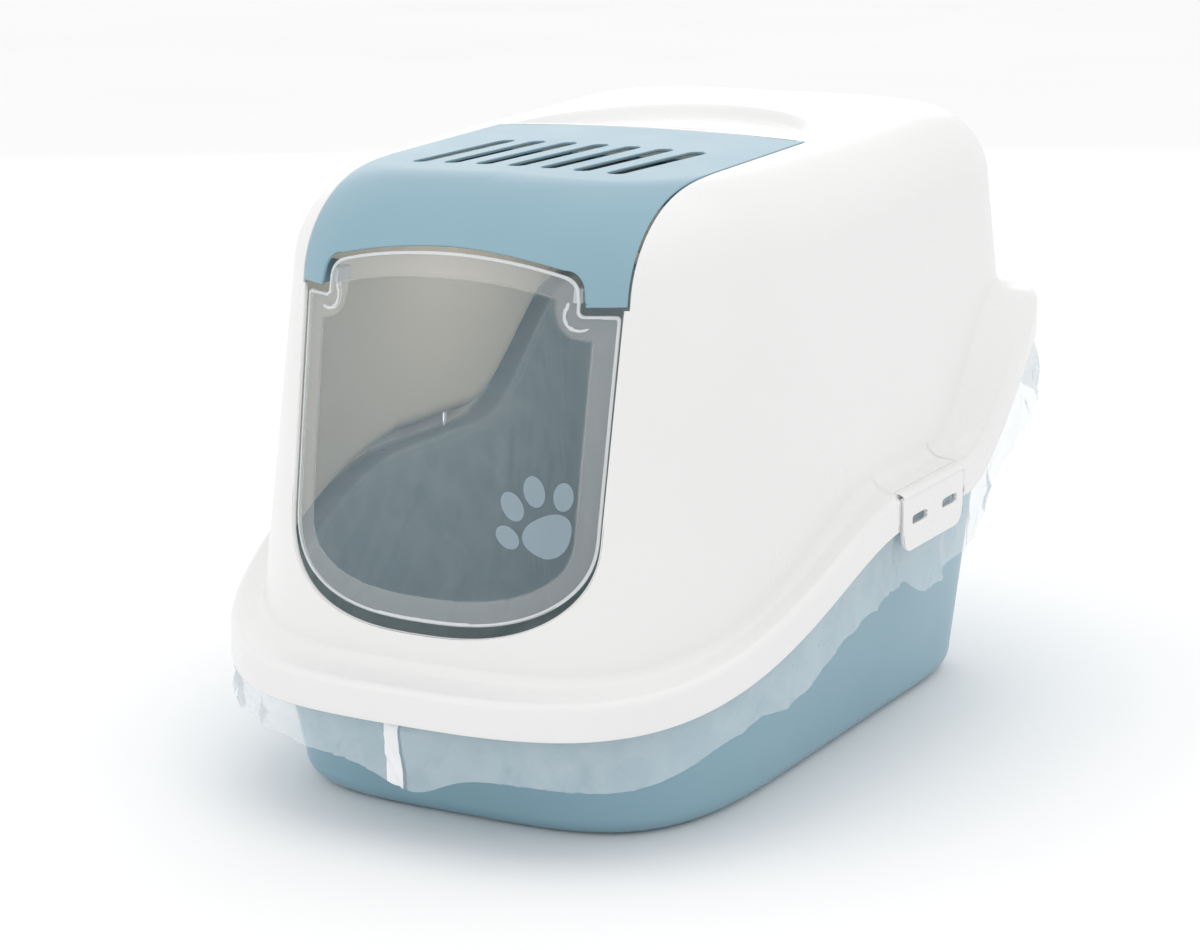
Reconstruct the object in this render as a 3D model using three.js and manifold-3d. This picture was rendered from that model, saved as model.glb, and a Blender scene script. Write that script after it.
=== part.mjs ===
// A cat litter box with a hood: an open tray that rises to the rear, a film liner over its rim,
// and a hood with a flap door, a vented visor, a carry recess and two side latches.
// Millimetres, +Z up. The front faces -Y, +X is to the right, and the tray stands on z = 0.
import * as THREE from "three";
import { mergeVertices } from "three/addons/utils/BufferGeometryUtils.js";
import Module from "manifold-3d";

const wasm = await Module();
wasm.setup();

// ---- Driving dimensions ----

const WIDTH = 390;
const LENGTH = 560;
const WALL = 2.6;
const TOUCH_GAP = 0.35;

const LATCH_PROUD = 1.2;
const SKIRT = 17;
const SKIRT_ROUND = 5.5;
const LEDGE_RISE = 9;

const ROOF_HEIGHT = 380;
const ROOF_SLOPE = Math.tan(THREE.MathUtils.degToRad(1.7));
const ROOF_CROWN = 3;
const SIDE_LEAN = Math.tan(THREE.MathUtils.degToRad(4.6));
const FRONT_LEAN = Math.tan(THREE.MathUtils.degToRad(9));
const REAR_LEAN = Math.tan(THREE.MathUtils.degToRad(6.5));
const FRONT_FILLET = 66;
const SIDE_FILLET = 40;
const REAR_FILLET = 42;

const VISOR_HALF = 110;
const VISOR_REAR = 28;
const VISOR_AXIS_Z = ROOF_HEIGHT + ROOF_SLOPE * VISOR_REAR;
const EAR_LEVEL = 311;
const EAR_INNER = 88;
const ARCH_CROWN = 340.5;
const ARCH_SPRING = 330;
const EDGE_GAP = 1.2;

const OPENING_TOP_HALF = 107.5;
const OPENING_HALF = 104.5;
const OPENING_BEND = 185;
const SILL = 122;
const DOOR_SIDE_GAP = 1.8;
const DOOR_SILL_GAP = 6;
const DOOR_INSET = 2;
const DOOR_AXIS = { y: -198, z: 317.5 };
const PIN_RADIUS = 2.4;
const HOOK_REACH = 1.9;

const SLOT_COUNT = 7;
const SLOT_PITCH = 22.2;
const SLOT_SIZE = { width: 10.2, front: -131, rear: -40, slant: 11.2 };

const RECESS = { radius: 104, centre: 32, shelf: 7, pocketRadius: 58, pocketDepth: 30 };

const LATCH = { front: -11, rear: 82, top: 170, bottom: 134.6, corner: 12, frontSlit: 1.5, rearSlit: 2.5 };
const WINDOW = { centres: [13.5, 60], length: 21, height: 5.4, z: 153.3 };

const FLANGE = {
  half: WIDTH / 2 - LATCH_PROUD,
  front: -LENGTH / 2,
  rear: LENGTH / 2,
  frontPower: 2.9,
  rearPower: 4.5,
};
const RIM_EDGE = { half: 187.2, front: -272.2, rear: 272.2, frontPower: 2.9, rearPower: 4.5 };
const RIM_ROOT = { half: 170, front: -252, rear: 257, frontPower: 2.9, rearPower: 4.5 };
const TRAY_FOOT = { half: 147, front: -224, rear: 236, frontPower: 4, rearPower: 4 };
const FOOT_ROUND = 16;
const RIM_ABOVE_SKIRT = 12;
const RIM_LIP = 7;
const LINER = 0.9;
const LINER_HANG = 34;

const FRONT_STEPS = 40;
const SIDE_STEPS = 7;
const REAR_STEPS = 28;
const FRONT_CENTRE = -30;
const REAR_CENTRE = 120;

// ---- Colours and finishes ----

const FINISH = {
  white: { color: "#e9e8e4", roughness: 0.28, metalness: 0 },
  blue: { color: "#87a8b6", roughness: 0.42, metalness: 0 },
  clear: { color: "#cfd8da", roughness: 0.12, metalness: 0, transparent: true, opacity: 0.45 },
  frost: { color: "#b9cdd8", roughness: 0.8, metalness: 0 },
  film: { color: "#dfe6e8", roughness: 0.35, metalness: 0 },
  carbon: { color: "#24292b", roughness: 0.95, metalness: 0 },
};

const box = new THREE.Group();

function place(name, finish, geometry) {
  const mesh = new THREE.Mesh(geometry, new THREE.MeshStandardMaterial(FINISH[finish]));
  mesh.name = name;
  box.add(mesh);
}

// ---- Solids ----

function solidOf(geometry) {
  const bare = geometry.clone();
  bare.deleteAttribute("normal");
  bare.deleteAttribute("uv");
  const merged = mergeVertices(bare, 1e-4);
  const mesh = new wasm.Mesh({
    numProp: 3,
    vertProperties: new Float32Array(merged.attributes.position.array),
    triVerts: new Uint32Array(merged.index.array),
  });
  mesh.merge();
  return new wasm.Manifold(mesh);
}

function geometryOf(solid) {
  const mesh = solid.getMesh();
  const geometry = new THREE.BufferGeometry();
  geometry.setAttribute("position", new THREE.BufferAttribute(new Float32Array(mesh.vertProperties), 3));
  geometry.setIndex(new THREE.BufferAttribute(new Uint32Array(mesh.triVerts), 1));
  geometry.computeVertexNormals();
  return geometry;
}

// Closed solid through rings of equal length; the first and the last ring are closed to their centres.
function loft(rings) {
  const count = rings[0].length;
  const points = rings.flat().concat([centreOf(rings[0]), centreOf(rings[rings.length - 1])]);
  const first = rings.length * count;
  const index = [];
  for (let i = 0; i < count; i += 1) {
    const next = (i + 1) % count;
    index.push(first, next, i);
    const top = (rings.length - 1) * count;
    index.push(first + 1, top + i, top + next);
    for (let ring = 0; ring < rings.length - 1; ring += 1) {
      const low = ring * count;
      const high = low + count;
      index.push(low + i, low + next, high + next);
      index.push(low + i, high + next, high + i);
    }
  }
  const geometry = new THREE.BufferGeometry();
  geometry.setAttribute("position", new THREE.Float32BufferAttribute(points.flat(), 3));
  geometry.setIndex(index);
  geometry.computeVertexNormals();
  return geometry;
}

function centreOf(ring) {
  return [0, 1, 2].map((axis) => ring.reduce((sum, point) => sum + point[axis], 0) / ring.length);
}

// Extrudes an outline drawn in X and Z along Y, between two places on Y.
function prismAlongY(shape, yFrom, yTo, segments = 12) {
  const geometry = new THREE.ExtrudeGeometry(shape, {
    depth: yTo - yFrom,
    bevelEnabled: false,
    curveSegments: segments,
  });
  geometry.rotateX(Math.PI / 2);
  geometry.translate(0, yTo, 0);
  return geometry;
}

// Extrudes an outline drawn in X and Y along Z, between two heights.
function prismAlongZ(shape, zFrom, zTo, segments = 12) {
  const geometry = new THREE.ExtrudeGeometry(shape, {
    depth: zTo - zFrom,
    bevelEnabled: false,
    curveSegments: segments,
  });
  geometry.translate(0, 0, zFrom);
  return geometry;
}

// Extrudes an outline drawn in Y and Z along X.
function prismAlongX(shape, xFrom, xTo, segments = 8) {
  const geometry = new THREE.ExtrudeGeometry(shape, {
    depth: xTo - xFrom,
    bevelEnabled: false,
    curveSegments: segments,
  });
  const turned = new THREE.Matrix4().makeBasis(
    new THREE.Vector3(0, 1, 0),
    new THREE.Vector3(0, 0, 1),
    new THREE.Vector3(1, 0, 0),
  );
  geometry.applyMatrix4(turned);
  geometry.translate(xFrom, 0, 0);
  return geometry;
}

function block(xFrom, xTo, yFrom, yTo, zFrom, zTo) {
  const geometry = new THREE.BoxGeometry(xTo - xFrom, yTo - yFrom, zTo - zFrom);
  geometry.translate((xFrom + xTo) / 2, (yFrom + yTo) / 2, (zFrom + zTo) / 2);
  return geometry;
}

function pinAlongX(xFrom, xTo, y, z, radius, sides = 20) {
  const geometry = new THREE.CylinderGeometry(radius, radius, Math.abs(xTo - xFrom), sides);
  geometry.rotateZ(Math.PI / 2);
  geometry.translate((xFrom + xTo) / 2, y, z);
  return geometry;
}

// ---- Plan outlines and heights ----

function power(value, exponent) {
  return Math.sign(value) * Math.abs(value) ** exponent;
}

// Turn of a superellipse quarter at an even part of its length, from a flat side to the middle.
function quarterTurn(part, exponent) {
  const ahead = part ** (exponent / 2);
  const behind = (1 - part) ** (exponent / 2);
  return ((Math.PI / 2) * ahead) / (ahead + behind);
}

// Turns over half a ring, from one flat side to the other, symmetric about its middle.
function halfTurns(steps, exponent) {
  return Array.from({ length: steps + 1 }, (unused, i) => {
    const part = (2 * i) / steps;
    return part <= 1 ? quarterTurn(part, exponent) : Math.PI - quarterTurn(2 - part, exponent);
  });
}

// The stations of every ring: the front half, the right side, the rear half and the left side.
function ringStations() {
  const sides = Array.from({ length: SIDE_STEPS - 1 }, (unused, i) => (i + 1) / SIDE_STEPS);
  return [
    ...halfTurns(FRONT_STEPS, FLANGE.frontPower).map((turn) => ({ turn: turn - Math.PI, slide: 0 })),
    ...sides.map((slide) => ({ turn: 0, slide })),
    ...halfTurns(REAR_STEPS, FLANGE.rearPower).map((turn) => ({ turn, slide: 1 })),
    ...sides.reverse().map((slide) => ({ turn: Math.PI, slide })),
  ];
}

const STATIONS = ringStations();

// Point of a plan outline: two superellipse halves joined by straight sides.
function planPoint(plan, station) {
  const along = Math.sin(station.turn);
  const ahead = along < 0;
  const exponent = 2 / (ahead ? plan.frontPower : plan.rearPower);
  const centre = THREE.MathUtils.lerp(FRONT_CENTRE, REAR_CENTRE, station.slide);
  const reach = ahead ? FRONT_CENTRE - plan.front : plan.rear - REAR_CENTRE;
  return [plan.half * power(Math.cos(station.turn), exponent), centre + reach * power(along, exponent)];
}

function smoothStep(from, to, value) {
  const part = THREE.MathUtils.clamp((value - from) / (to - from), 0, 1);
  return part * part * (3 - 2 * part);
}

// Height of the hood's lower edge: low at the front, level at the latches, high at the rear.
function skirtLevel(y) {
  return 75 + 75 * smoothStep(-280, 2, y) + 86 * smoothStep(92, 242, y);
}

// One ring between two plans: `blend` runs from 0 on the first to 1 on the second.
function ringBetween(planA, planB, blend, heightAt) {
  return STATIONS.map((station) => {
    const a = planPoint(planA, station);
    const b = planPoint(planB, station);
    const level = skirtLevel(planPoint(FLANGE, station)[1]);
    return [
      THREE.MathUtils.lerp(a[0], b[0], blend),
      THREE.MathUtils.lerp(a[1], b[1], blend),
      heightAt(level),
    ];
  });
}

function inset(plan, amount) {
  return { ...plan, half: plan.half - amount, front: plan.front + amount, rear: plan.rear - amount };
}

// ---- The hood's outer surface ----

// Distance to a plan outline, measured along the line to its centre line: negative inside.
function planDistance(plan, x, y) {
  const ahead = y < FRONT_CENTRE;
  const reach = ahead ? FRONT_CENTRE - plan.front : plan.rear - REAR_CENTRE;
  const anchor = THREE.MathUtils.clamp(y, FRONT_CENTRE, REAR_CENTRE);
  const exponent = ahead ? plan.frontPower : plan.rearPower;
  const across = Math.abs(x / plan.half) ** exponent;
  const along = Math.abs((y - anchor) / reach) ** exponent;
  const ratio = (across + along) ** (1 / exponent);
  return ratio === 0 ? -plan.half : Math.hypot(x, y - anchor) * (1 - 1 / ratio);
}

function bodyPlan(z) {
  return {
    half: 176 - SIDE_LEAN * (z - 150),
    front: -256 + FRONT_LEAN * (z - 106),
    rear: 262 - REAR_LEAN * (z - 250),
    frontPower: 2.9,
    rearPower: 5,
  };
}

// Edge radius between wall and roof: largest at the front, smaller round the sides and the rear.
function roofFillet(x, y) {
  const part = Math.atan2(Math.abs(x) / 150, -y / 220) / Math.PI;
  if (part < 0.5) {
    return THREE.MathUtils.lerp(FRONT_FILLET, SIDE_FILLET, part / 0.5);
  }
  return THREE.MathUtils.lerp(SIDE_FILLET, REAR_FILLET, (part - 0.5) / 0.5);
}

// Field that is zero on the hood's outer surface: leaning walls and a crowned roof, blended by a radius.
function bodyField(x, y, z) {
  const wall = planDistance(bodyPlan(z), x, y);
  const roof = z - (ROOF_HEIGHT + ROOF_SLOPE * y - ROOF_CROWN * (x / VISOR_HALF) ** 2);
  const radius = roofFillet(x, y);
  const sharp = Math.min(Math.max(wall, roof), -radius);
  return sharp + Math.hypot(Math.max(wall + radius, 0), Math.max(roof + radius, 0));
}

// Point on the surface, `depth` below it, straight out from the upright axis at height z.
function bodyPoint(station, z, elevation, depth) {
  const plan = planPoint(FLANGE, station);
  const heading = Math.atan2(plan[1], plan[0]);
  const step = [
    Math.cos(heading) * Math.cos(elevation),
    Math.sin(heading) * Math.cos(elevation),
    Math.sin(elevation),
  ];
  let near = 0;
  let far = 460;
  for (let i = 0; i < 36; i += 1) {
    const middle = (near + far) / 2;
    const outside = bodyField(step[0] * middle, step[1] * middle, z + step[2] * middle) + depth > 0;
    if (outside) {
      far = middle;
    } else {
      near = middle;
    }
  }
  return [step[0] * near, step[1] * near, z + step[2] * near];
}

const SHOULDER = 296;
const RISING = [2, 6, 10, 13.5, 17, 20.5, 24, 28, 33, 40, 50, 64, 80];

// Rings up the body from a starting height, which may differ from station to station.
function bodyRings(startAt, depth, wallRings) {
  const rings = [];
  for (let i = 0; i <= wallRings; i += 1) {
    rings.push(STATIONS.map((station) => {
      const start = startAt(skirtLevel(planPoint(FLANGE, station)[1]));
      return bodyPoint(station, THREE.MathUtils.lerp(start, SHOULDER, i / wallRings), 0, depth);
    }));
  }
  for (const degrees of RISING) {
    const elevation = THREE.MathUtils.degToRad(degrees);
    rings.push(STATIONS.map((station) => bodyPoint(station, SHOULDER, elevation, depth)));
  }
  return rings;
}

// The whole space inside the body surface, a given depth below it.
function bodySolid(depth) {
  return solidOf(loft(bodyRings(() => 240, depth, 4)));
}

// A thin shell of the body surface between two depths, open below the starting height.
function bodyShell(depthOut, depthIn, start, wallRings) {
  const inner = bodyRings(() => start, depthIn, wallRings).reverse();
  const outer = bodyRings(() => start, depthOut, wallRings);
  return solidOf(loft([...inner, ...outer]));
}

// ---- Tray and liner ----

function makeTray() {
  const outerFoot = [
    ringBetween(TRAY_FOOT, TRAY_FOOT, 0, () => 0).map(([x, y]) => [x * 0.5, y * 0.5, 0]),
    ringBetween(inset(TRAY_FOOT, FOOT_ROUND * 0.75), TRAY_FOOT, 0, () => 0),
    ringBetween(inset(TRAY_FOOT, FOOT_ROUND * 0.25), TRAY_FOOT, 0, () => FOOT_ROUND * 0.22),
    ringBetween(TRAY_FOOT, TRAY_FOOT, 0, () => FOOT_ROUND * 0.85),
  ];
  const outerWall = [0.5, 1].map((blend) => ringBetween(
    TRAY_FOOT,
    RIM_ROOT,
    blend,
    (level) => THREE.MathUtils.lerp(FOOT_ROUND, level + RIM_ABOVE_SKIRT - WALL, blend),
  ));
  const rim = [
    ringBetween(inset(RIM_EDGE, WALL), RIM_EDGE, 0, (level) => level + RIM_ABOVE_SKIRT - WALL),
    ringBetween(inset(RIM_EDGE, WALL), RIM_EDGE, 0, (level) => level + RIM_ABOVE_SKIRT - RIM_LIP),
    ringBetween(RIM_EDGE, RIM_EDGE, 0, (level) => level + RIM_ABOVE_SKIRT - RIM_LIP),
    ringBetween(RIM_EDGE, RIM_EDGE, 0, (level) => level + RIM_ABOVE_SKIRT - 1.5),
    ringBetween(inset(RIM_EDGE, 1.5), RIM_EDGE, 0, (level) => level + RIM_ABOVE_SKIRT),
    ringBetween(inset(RIM_ROOT, WALL), RIM_EDGE, 0, (level) => level + RIM_ABOVE_SKIRT),
  ];
  const innerWall = [0.5, 0].map((blend) => ringBetween(
    inset(TRAY_FOOT, WALL),
    inset(RIM_ROOT, WALL),
    blend,
    (level) => THREE.MathUtils.lerp(FOOT_ROUND, level + RIM_ABOVE_SKIRT - WALL, blend),
  ));
  const innerFoot = [
    ringBetween(inset(TRAY_FOOT, WALL + FOOT_ROUND * 0.4), TRAY_FOOT, 0, () => WALL + 1.5),
    ringBetween(inset(TRAY_FOOT, WALL + FOOT_ROUND), TRAY_FOOT, 0, () => WALL),
  ];
  return loft([...outerFoot, ...outerWall, ...rim, ...innerWall, ...innerFoot]);
}

// The liner lies in the tray, turns over the rim and hangs outside: one closed band of film.
function makeLiner() {
  const layer = (away) => {
    const wallIn = inset(RIM_ROOT, WALL + away);
    const footIn = inset(TRAY_FOOT, WALL + away);
    return [
      ringBetween(inset(footIn, FOOT_ROUND), footIn, 0, () => WALL + away),
      ringBetween(footIn, footIn, 0, () => FOOT_ROUND),
      ringBetween(footIn, wallIn, 0.5, (level) => (FOOT_ROUND + level + RIM_ABOVE_SKIRT - WALL) / 2),
      ringBetween(footIn, wallIn, 1, (level) => level + RIM_ABOVE_SKIRT - 1 + away),
      ringBetween(inset(RIM_ROOT, WALL + away), wallIn, 0, (level) => level + RIM_ABOVE_SKIRT + 0.7 + away),
      ringBetween(inset(RIM_EDGE, 1 - away), wallIn, 0, (level) => level + RIM_ABOVE_SKIRT + 0.7 + away),
      ringBetween(inset(RIM_EDGE, -away), wallIn, 0, (level) => level + RIM_ABOVE_SKIRT - 1.5),
      ringBetween(inset(RIM_EDGE, -away), wallIn, 0, (level) => level - 2),
      ringBetween(inset(RIM_EDGE, 3 - away), wallIn, 0, (level) => level - LINER_HANG),
    ];
  };
  const under = layer(0.9);
  const over = layer(0.9 + LINER);
  return loft([...under, ...over.reverse()]);
}

// ---- Hood ----

function openingShape(side, topSide, bottom, top) {
  const shape = new THREE.Shape();
  const bend = [];
  for (let i = 0; i <= 16; i += 1) {
    const turn = (Math.PI / 2) * (i / 16);
    const fall = (OPENING_BEND - bottom) * power(Math.sin(turn), 0.8);
    bend.push([side * power(Math.cos(turn), 0.8), OPENING_BEND - fall]);
  }
  shape.moveTo(topSide, top);
  bend.forEach(([x, z]) => shape.lineTo(x, z));
  bend.reverse().forEach(([x, z]) => shape.lineTo(-x, z));
  shape.lineTo(-topSide, top);
  shape.closePath();
  return shape;
}

function halfMoon(radius, front) {
  const shape = new THREE.Shape();
  const reach = Math.sqrt(radius ** 2 - (front - RECESS.centre) ** 2);
  const start = Math.asin((front - RECESS.centre) / radius);
  shape.moveTo(reach, front);
  shape.absarc(0, RECESS.centre, radius, start, Math.PI - start, false);
  shape.closePath();
  return shape;
}

// Ring on the ledge between the flange's edge and the body's wall, `rise` above the skirt's round.
function ledgeRing(blend, rise, depth) {
  return STATIONS.map((station) => {
    const edge = planPoint(FLANGE, station);
    const level = skirtLevel(edge[1]) + SKIRT + SKIRT_ROUND;
    const root = bodyPoint(station, level + LEDGE_RISE, 0, depth);
    const [x, y] = [0, 1].map((axis) => THREE.MathUtils.lerp(edge[axis], root[axis], blend));
    return [x, y, level + rise];
  });
}

function makeHood() {
  const wallStart = (extra) => (level) => level + SKIRT + SKIRT_ROUND + LEDGE_RISE + extra;
  const outer = [
    ringBetween(FLANGE, FLANGE, 0, (level) => level),
    ringBetween(FLANGE, FLANGE, 0, (level) => level + SKIRT),
    ringBetween(inset(FLANGE, 1.6), FLANGE, 0, (level) => level + SKIRT + 3.9),
    ringBetween(inset(FLANGE, SKIRT_ROUND), FLANGE, 0, (level) => level + SKIRT + SKIRT_ROUND),
    ledgeRing(0.82, LEDGE_RISE * 0.45, 0),
    ...bodyRings(wallStart(0), 0, 4),
  ];
  const inner = [
    ringBetween(inset(FLANGE, WALL), FLANGE, 0, (level) => level),
    ringBetween(inset(FLANGE, WALL), FLANGE, 0, (level) => level + SKIRT - 1),
    ringBetween(inset(FLANGE, SKIRT_ROUND + 1), FLANGE, 0, (level) => level + SKIRT + SKIRT_ROUND - WALL),
    ledgeRing(0.9, LEDGE_RISE * 0.3 - WALL, WALL),
    ...bodyRings(wallStart(2), WALL, 4),
  ];
  let hood = solidOf(loft([...inner.reverse(), ...outer]));
  const doorway = openingShape(OPENING_HALF, OPENING_TOP_HALF, SILL, EAR_LEVEL - 0.5);
  hood = hood.subtract(solidOf(prismAlongY(doorway, -320, VISOR_REAR)));
  hood = hood.subtract(solidOf(block(-VISOR_HALF, VISOR_HALF, -320, VISOR_REAR, EAR_LEVEL - 1, 420)));
  const recess = prismAlongZ(halfMoon(RECESS.radius, VISOR_REAR + 5), 340, 420, 40);
  hood = hood.subtract(solidOf(recess));
  for (const side of [-1, 1]) {
    const xRange = [side * (WIDTH / 2 + 5), side * (FLANGE.half - WALL - 3)].sort((a, b) => a - b);
    const yRange = [LATCH.front - LATCH.frontSlit, LATCH.rear + LATCH.rearSlit];
    const cut = block(...xRange, ...yRange, 120, LATCH.top + TOUCH_GAP);
    hood = hood.subtract(solidOf(cut));
  }
  return geometryOf(hood);
}

// The carry recess: a shallow half-moon shelf with a deeper finger pocket by its front bar.
function makeRecess() {
  const front = VISOR_REAR + 5 + TOUCH_GAP;
  const rim = RECESS.radius - TOUCH_GAP;
  const roofAt = (x, y) => ROOF_HEIGHT + ROOF_SLOPE * y - ROOF_CROWN * (x / VISOR_HALF) ** 2;
  const ring = (radius, drop, wall) => {
    const points = [];
    for (let i = 0; i <= 40; i += 1) {
      const turn = (Math.PI * i) / 40;
      const x = radius * Math.cos(turn);
      const y = Math.max(RECESS.centre + radius * Math.sin(turn), front + wall);
      points.push([x, y, roofAt(x, y) - drop]);
    }
    for (let i = 1; i < 12; i += 1) {
      const x = -radius + (2 * radius * i) / 12;
      points.push([x, front + wall, roofAt(x, front) - drop]);
    }
    return points;
  };
  const top = [
    ring(RECESS.pocketRadius - 14, RECESS.pocketDepth, 10),
    ring(RECESS.pocketRadius, RECESS.shelf + 2, 5),
    ring(rim - 16, RECESS.shelf, 4),
    ring(rim - WALL, 1, WALL),
    ring(rim, 0.3, 0),
  ];
  const under = [
    ring(rim, WALL, 0),
    ring(rim - 14, RECESS.shelf + WALL, 0.5),
    ring(RECESS.pocketRadius + WALL, RECESS.shelf + WALL + 2, 1),
    ring(RECESS.pocketRadius - 12, RECESS.pocketDepth + WALL, 7),
  ];
  return loft([...under.reverse(), ...top.reverse()]);
}

// ---- Visor ----

function visorShape() {
  const half = VISOR_HALF - EDGE_GAP;
  const shape = new THREE.Shape();
  shape.moveTo(-half, EAR_LEVEL + 1);
  shape.lineTo(-EAR_INNER, EAR_LEVEL + 1);
  shape.lineTo(-EAR_INNER, ARCH_SPRING - 12);
  shape.quadraticCurveTo(-EAR_INNER, ARCH_SPRING, -EAR_INNER + 14, ARCH_SPRING + 2);
  shape.quadraticCurveTo(0, 2 * ARCH_CROWN - ARCH_SPRING - 2, EAR_INNER - 14, ARCH_SPRING + 2);
  shape.quadraticCurveTo(EAR_INNER, ARCH_SPRING, EAR_INNER, ARCH_SPRING - 12);
  shape.lineTo(EAR_INNER, EAR_LEVEL + 1);
  shape.lineTo(half, EAR_LEVEL + 1);
  shape.lineTo(half, 420);
  shape.lineTo(-half, 420);
  shape.closePath();
  return shape;
}

function slotShape(centre) {
  const { width, front, rear, slant } = SLOT_SIZE;
  const lean = Math.atan2(slant, rear - front);
  const half = width / 2;
  const shape = new THREE.Shape();
  const start = [centre - slant / 2, front + half];
  const end = [centre + slant / 2, rear - half];
  shape.absarc(start[0], start[1], half, Math.PI - lean, 2 * Math.PI - lean, false);
  shape.absarc(end[0], end[1], half, -lean, Math.PI - lean, false);
  shape.closePath();
  return shape;
}

function makeVisor() {
  let visor = bodyShell(0, WALL, 240, 3);
  visor = visor.intersect(solidOf(prismAlongY(visorShape(), -320, VISOR_REAR - 1)));
  for (let i = 0; i < SLOT_COUNT; i += 1) {
    const centre = (i - (SLOT_COUNT - 1) / 2) * SLOT_PITCH;
    visor = visor.subtract(solidOf(prismAlongZ(slotShape(centre), 340, 420, 8)));
  }
  return geometryOf(visor);
}

// Hooked tab, concentric with the visor's rear edge, that grips under the roof's front edge.
function makeVisorHook(xFrom, xTo) {
  const from = THREE.MathUtils.degToRad(252);
  const to = THREE.MathUtils.degToRad(288);
  const shape = new THREE.Shape();
  shape.absarc(VISOR_REAR, VISOR_AXIS_Z, 6.6, from, to, false);
  shape.absarc(VISOR_REAR, VISOR_AXIS_Z, 4.0, to, from, true);
  shape.closePath();
  return prismAlongX(shape, xFrom, xTo);
}

// ---- Door ----

function doorShape() {
  const side = OPENING_HALF - DOOR_SIDE_GAP;
  const bottom = SILL + DOOR_SILL_GAP;
  const shoulder = EAR_LEVEL - 4;
  const neck = EAR_INNER - 3;
  const crown = ARCH_CROWN - 2.5;
  const spring = ARCH_SPRING - 2.5;
  const shape = new THREE.Shape();
  shape.moveTo(side + 2.5, shoulder);
  for (let i = 0; i <= 16; i += 1) {
    const turn = (Math.PI / 2) * (i / 16);
    const x = side * power(Math.cos(turn), 0.8);
    shape.lineTo(x, OPENING_BEND - (OPENING_BEND - bottom) * power(Math.sin(turn), 0.8));
  }
  for (let i = 16; i >= 0; i -= 1) {
    const turn = (Math.PI / 2) * (i / 16);
    const x = side * power(Math.cos(turn), 0.8);
    shape.lineTo(-x, OPENING_BEND - (OPENING_BEND - bottom) * power(Math.sin(turn), 0.8));
  }
  shape.lineTo(-side - 2.5, shoulder);
  shape.lineTo(-neck, shoulder);
  shape.lineTo(-neck, spring - 12);
  shape.quadraticCurveTo(-neck, spring, -neck + 13, spring + 2);
  shape.quadraticCurveTo(0, 2 * crown - spring - 2, neck - 13, spring + 2);
  shape.quadraticCurveTo(neck, spring, neck, spring - 12);
  shape.lineTo(neck, shoulder);
  shape.closePath();
  return shape;
}

function makeDoor() {
  const sheet = bodyShell(DOOR_INSET, DOOR_INSET + WALL, 106, 8);
  const prism = solidOf(prismAlongY(doorShape(), -320, -120));
  return geometryOf(sheet.intersect(prism));
}

// Lug behind the door's neck with its hinge pin, and the block behind the visor's ear that takes it.
function makeDoorPin(side) {
  const xRange = sideRange(side, EAR_INNER - 8, EAR_INNER + 10);
  const pin = pinAlongX(...xRange, DOOR_AXIS.y, DOOR_AXIS.z, PIN_RADIUS);
  const lug = block(...sideRange(side, EAR_INNER - 9, EAR_INNER - 4),
    DOOR_AXIS.y - 12, DOOR_AXIS.y + 4, DOOR_AXIS.z - 4, DOOR_AXIS.z + 4);
  const behindDoor = bodySolid(DOOR_INSET + WALL + TOUCH_GAP);
  return geometryOf(solidOf(lug).intersect(behindDoor).add(solidOf(pin)));
}

function makeDoorSocket(side) {
  const range = sideRange(side, EAR_INNER + 1, EAR_INNER + 14);
  const body = block(...range, DOOR_AXIS.y - 9, DOOR_AXIS.y + 6.5, DOOR_AXIS.z - 5.2, DOOR_AXIS.z + 6.5);
  const bore = pinAlongX(range[0] - 1, range[1] + 1, DOOR_AXIS.y, DOOR_AXIS.z, PIN_RADIUS + 0.4, 24);
  const behindVisor = bodySolid(WALL + 0.5);
  return geometryOf(solidOf(body).intersect(behindVisor).subtract(solidOf(bore)));
}

// Frosted paw print on the door: a rounded pad and four toes, each a thin layer.
const PAW = { x: 70, z: 187.5, tilt: THREE.MathUtils.degToRad(25) };
const PAW_MARKS = [
  { name: "paw_pad", across: 4, up: -5, wide: 14, tall: 12, turn: 0 },
  { name: "paw_toe_1", across: -18, up: 3, wide: 5.5, tall: 8, turn: 0.5 },
  { name: "paw_toe_2", across: -9, up: 18, wide: 6, tall: 9, turn: 0.2 },
  { name: "paw_toe_3", across: 6, up: 21, wide: 6, tall: 9, turn: -0.1 },
  { name: "paw_toe_4", across: 20, up: 12, wide: 5.5, tall: 8, turn: -0.4 },
];

function makePawMark(layer, mark) {
  const x = PAW.x + mark.across * Math.cos(PAW.tilt) - mark.up * Math.sin(PAW.tilt);
  const z = PAW.z + mark.across * Math.sin(PAW.tilt) + mark.up * Math.cos(PAW.tilt);
  const shape = new THREE.Shape();
  shape.absellipse(x, z, mark.wide, mark.tall, 0, 2 * Math.PI, false, mark.turn + PAW.tilt);
  return geometryOf(layer.intersect(solidOf(prismAlongY(shape, -320, -120, 14))));
}

// ---- Filter under the slots ----

const BAR = 4;
const FILTER = { half: 88, front: -144, rear: -26, top: 371, deep: 9, rib: 3 };

function filterPlate(shape, from, to) {
  const geometry = prismAlongZ(shape, from, to);
  geometry.applyMatrix4(new THREE.Matrix4().makeShear(0, 0, 0, ROOF_SLOPE, 0, 0));
  return geometry;
}

function rectangle(half, front, rear, hole) {
  const shape = hole ? new THREE.Path() : new THREE.Shape();
  shape.moveTo(-half, front);
  shape.lineTo(half, front);
  shape.lineTo(half, rear);
  shape.lineTo(-half, rear);
  shape.closePath();
  return shape;
}

function makeFilterFrame() {
  const { half, front, rear, top, deep, rib } = FILTER;
  const shape = rectangle(half, front, rear, false);
  shape.holes.push(rectangle(half - rib, front + rib, rear - rib, true));
  return filterPlate(shape, top - deep, top);
}

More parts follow.
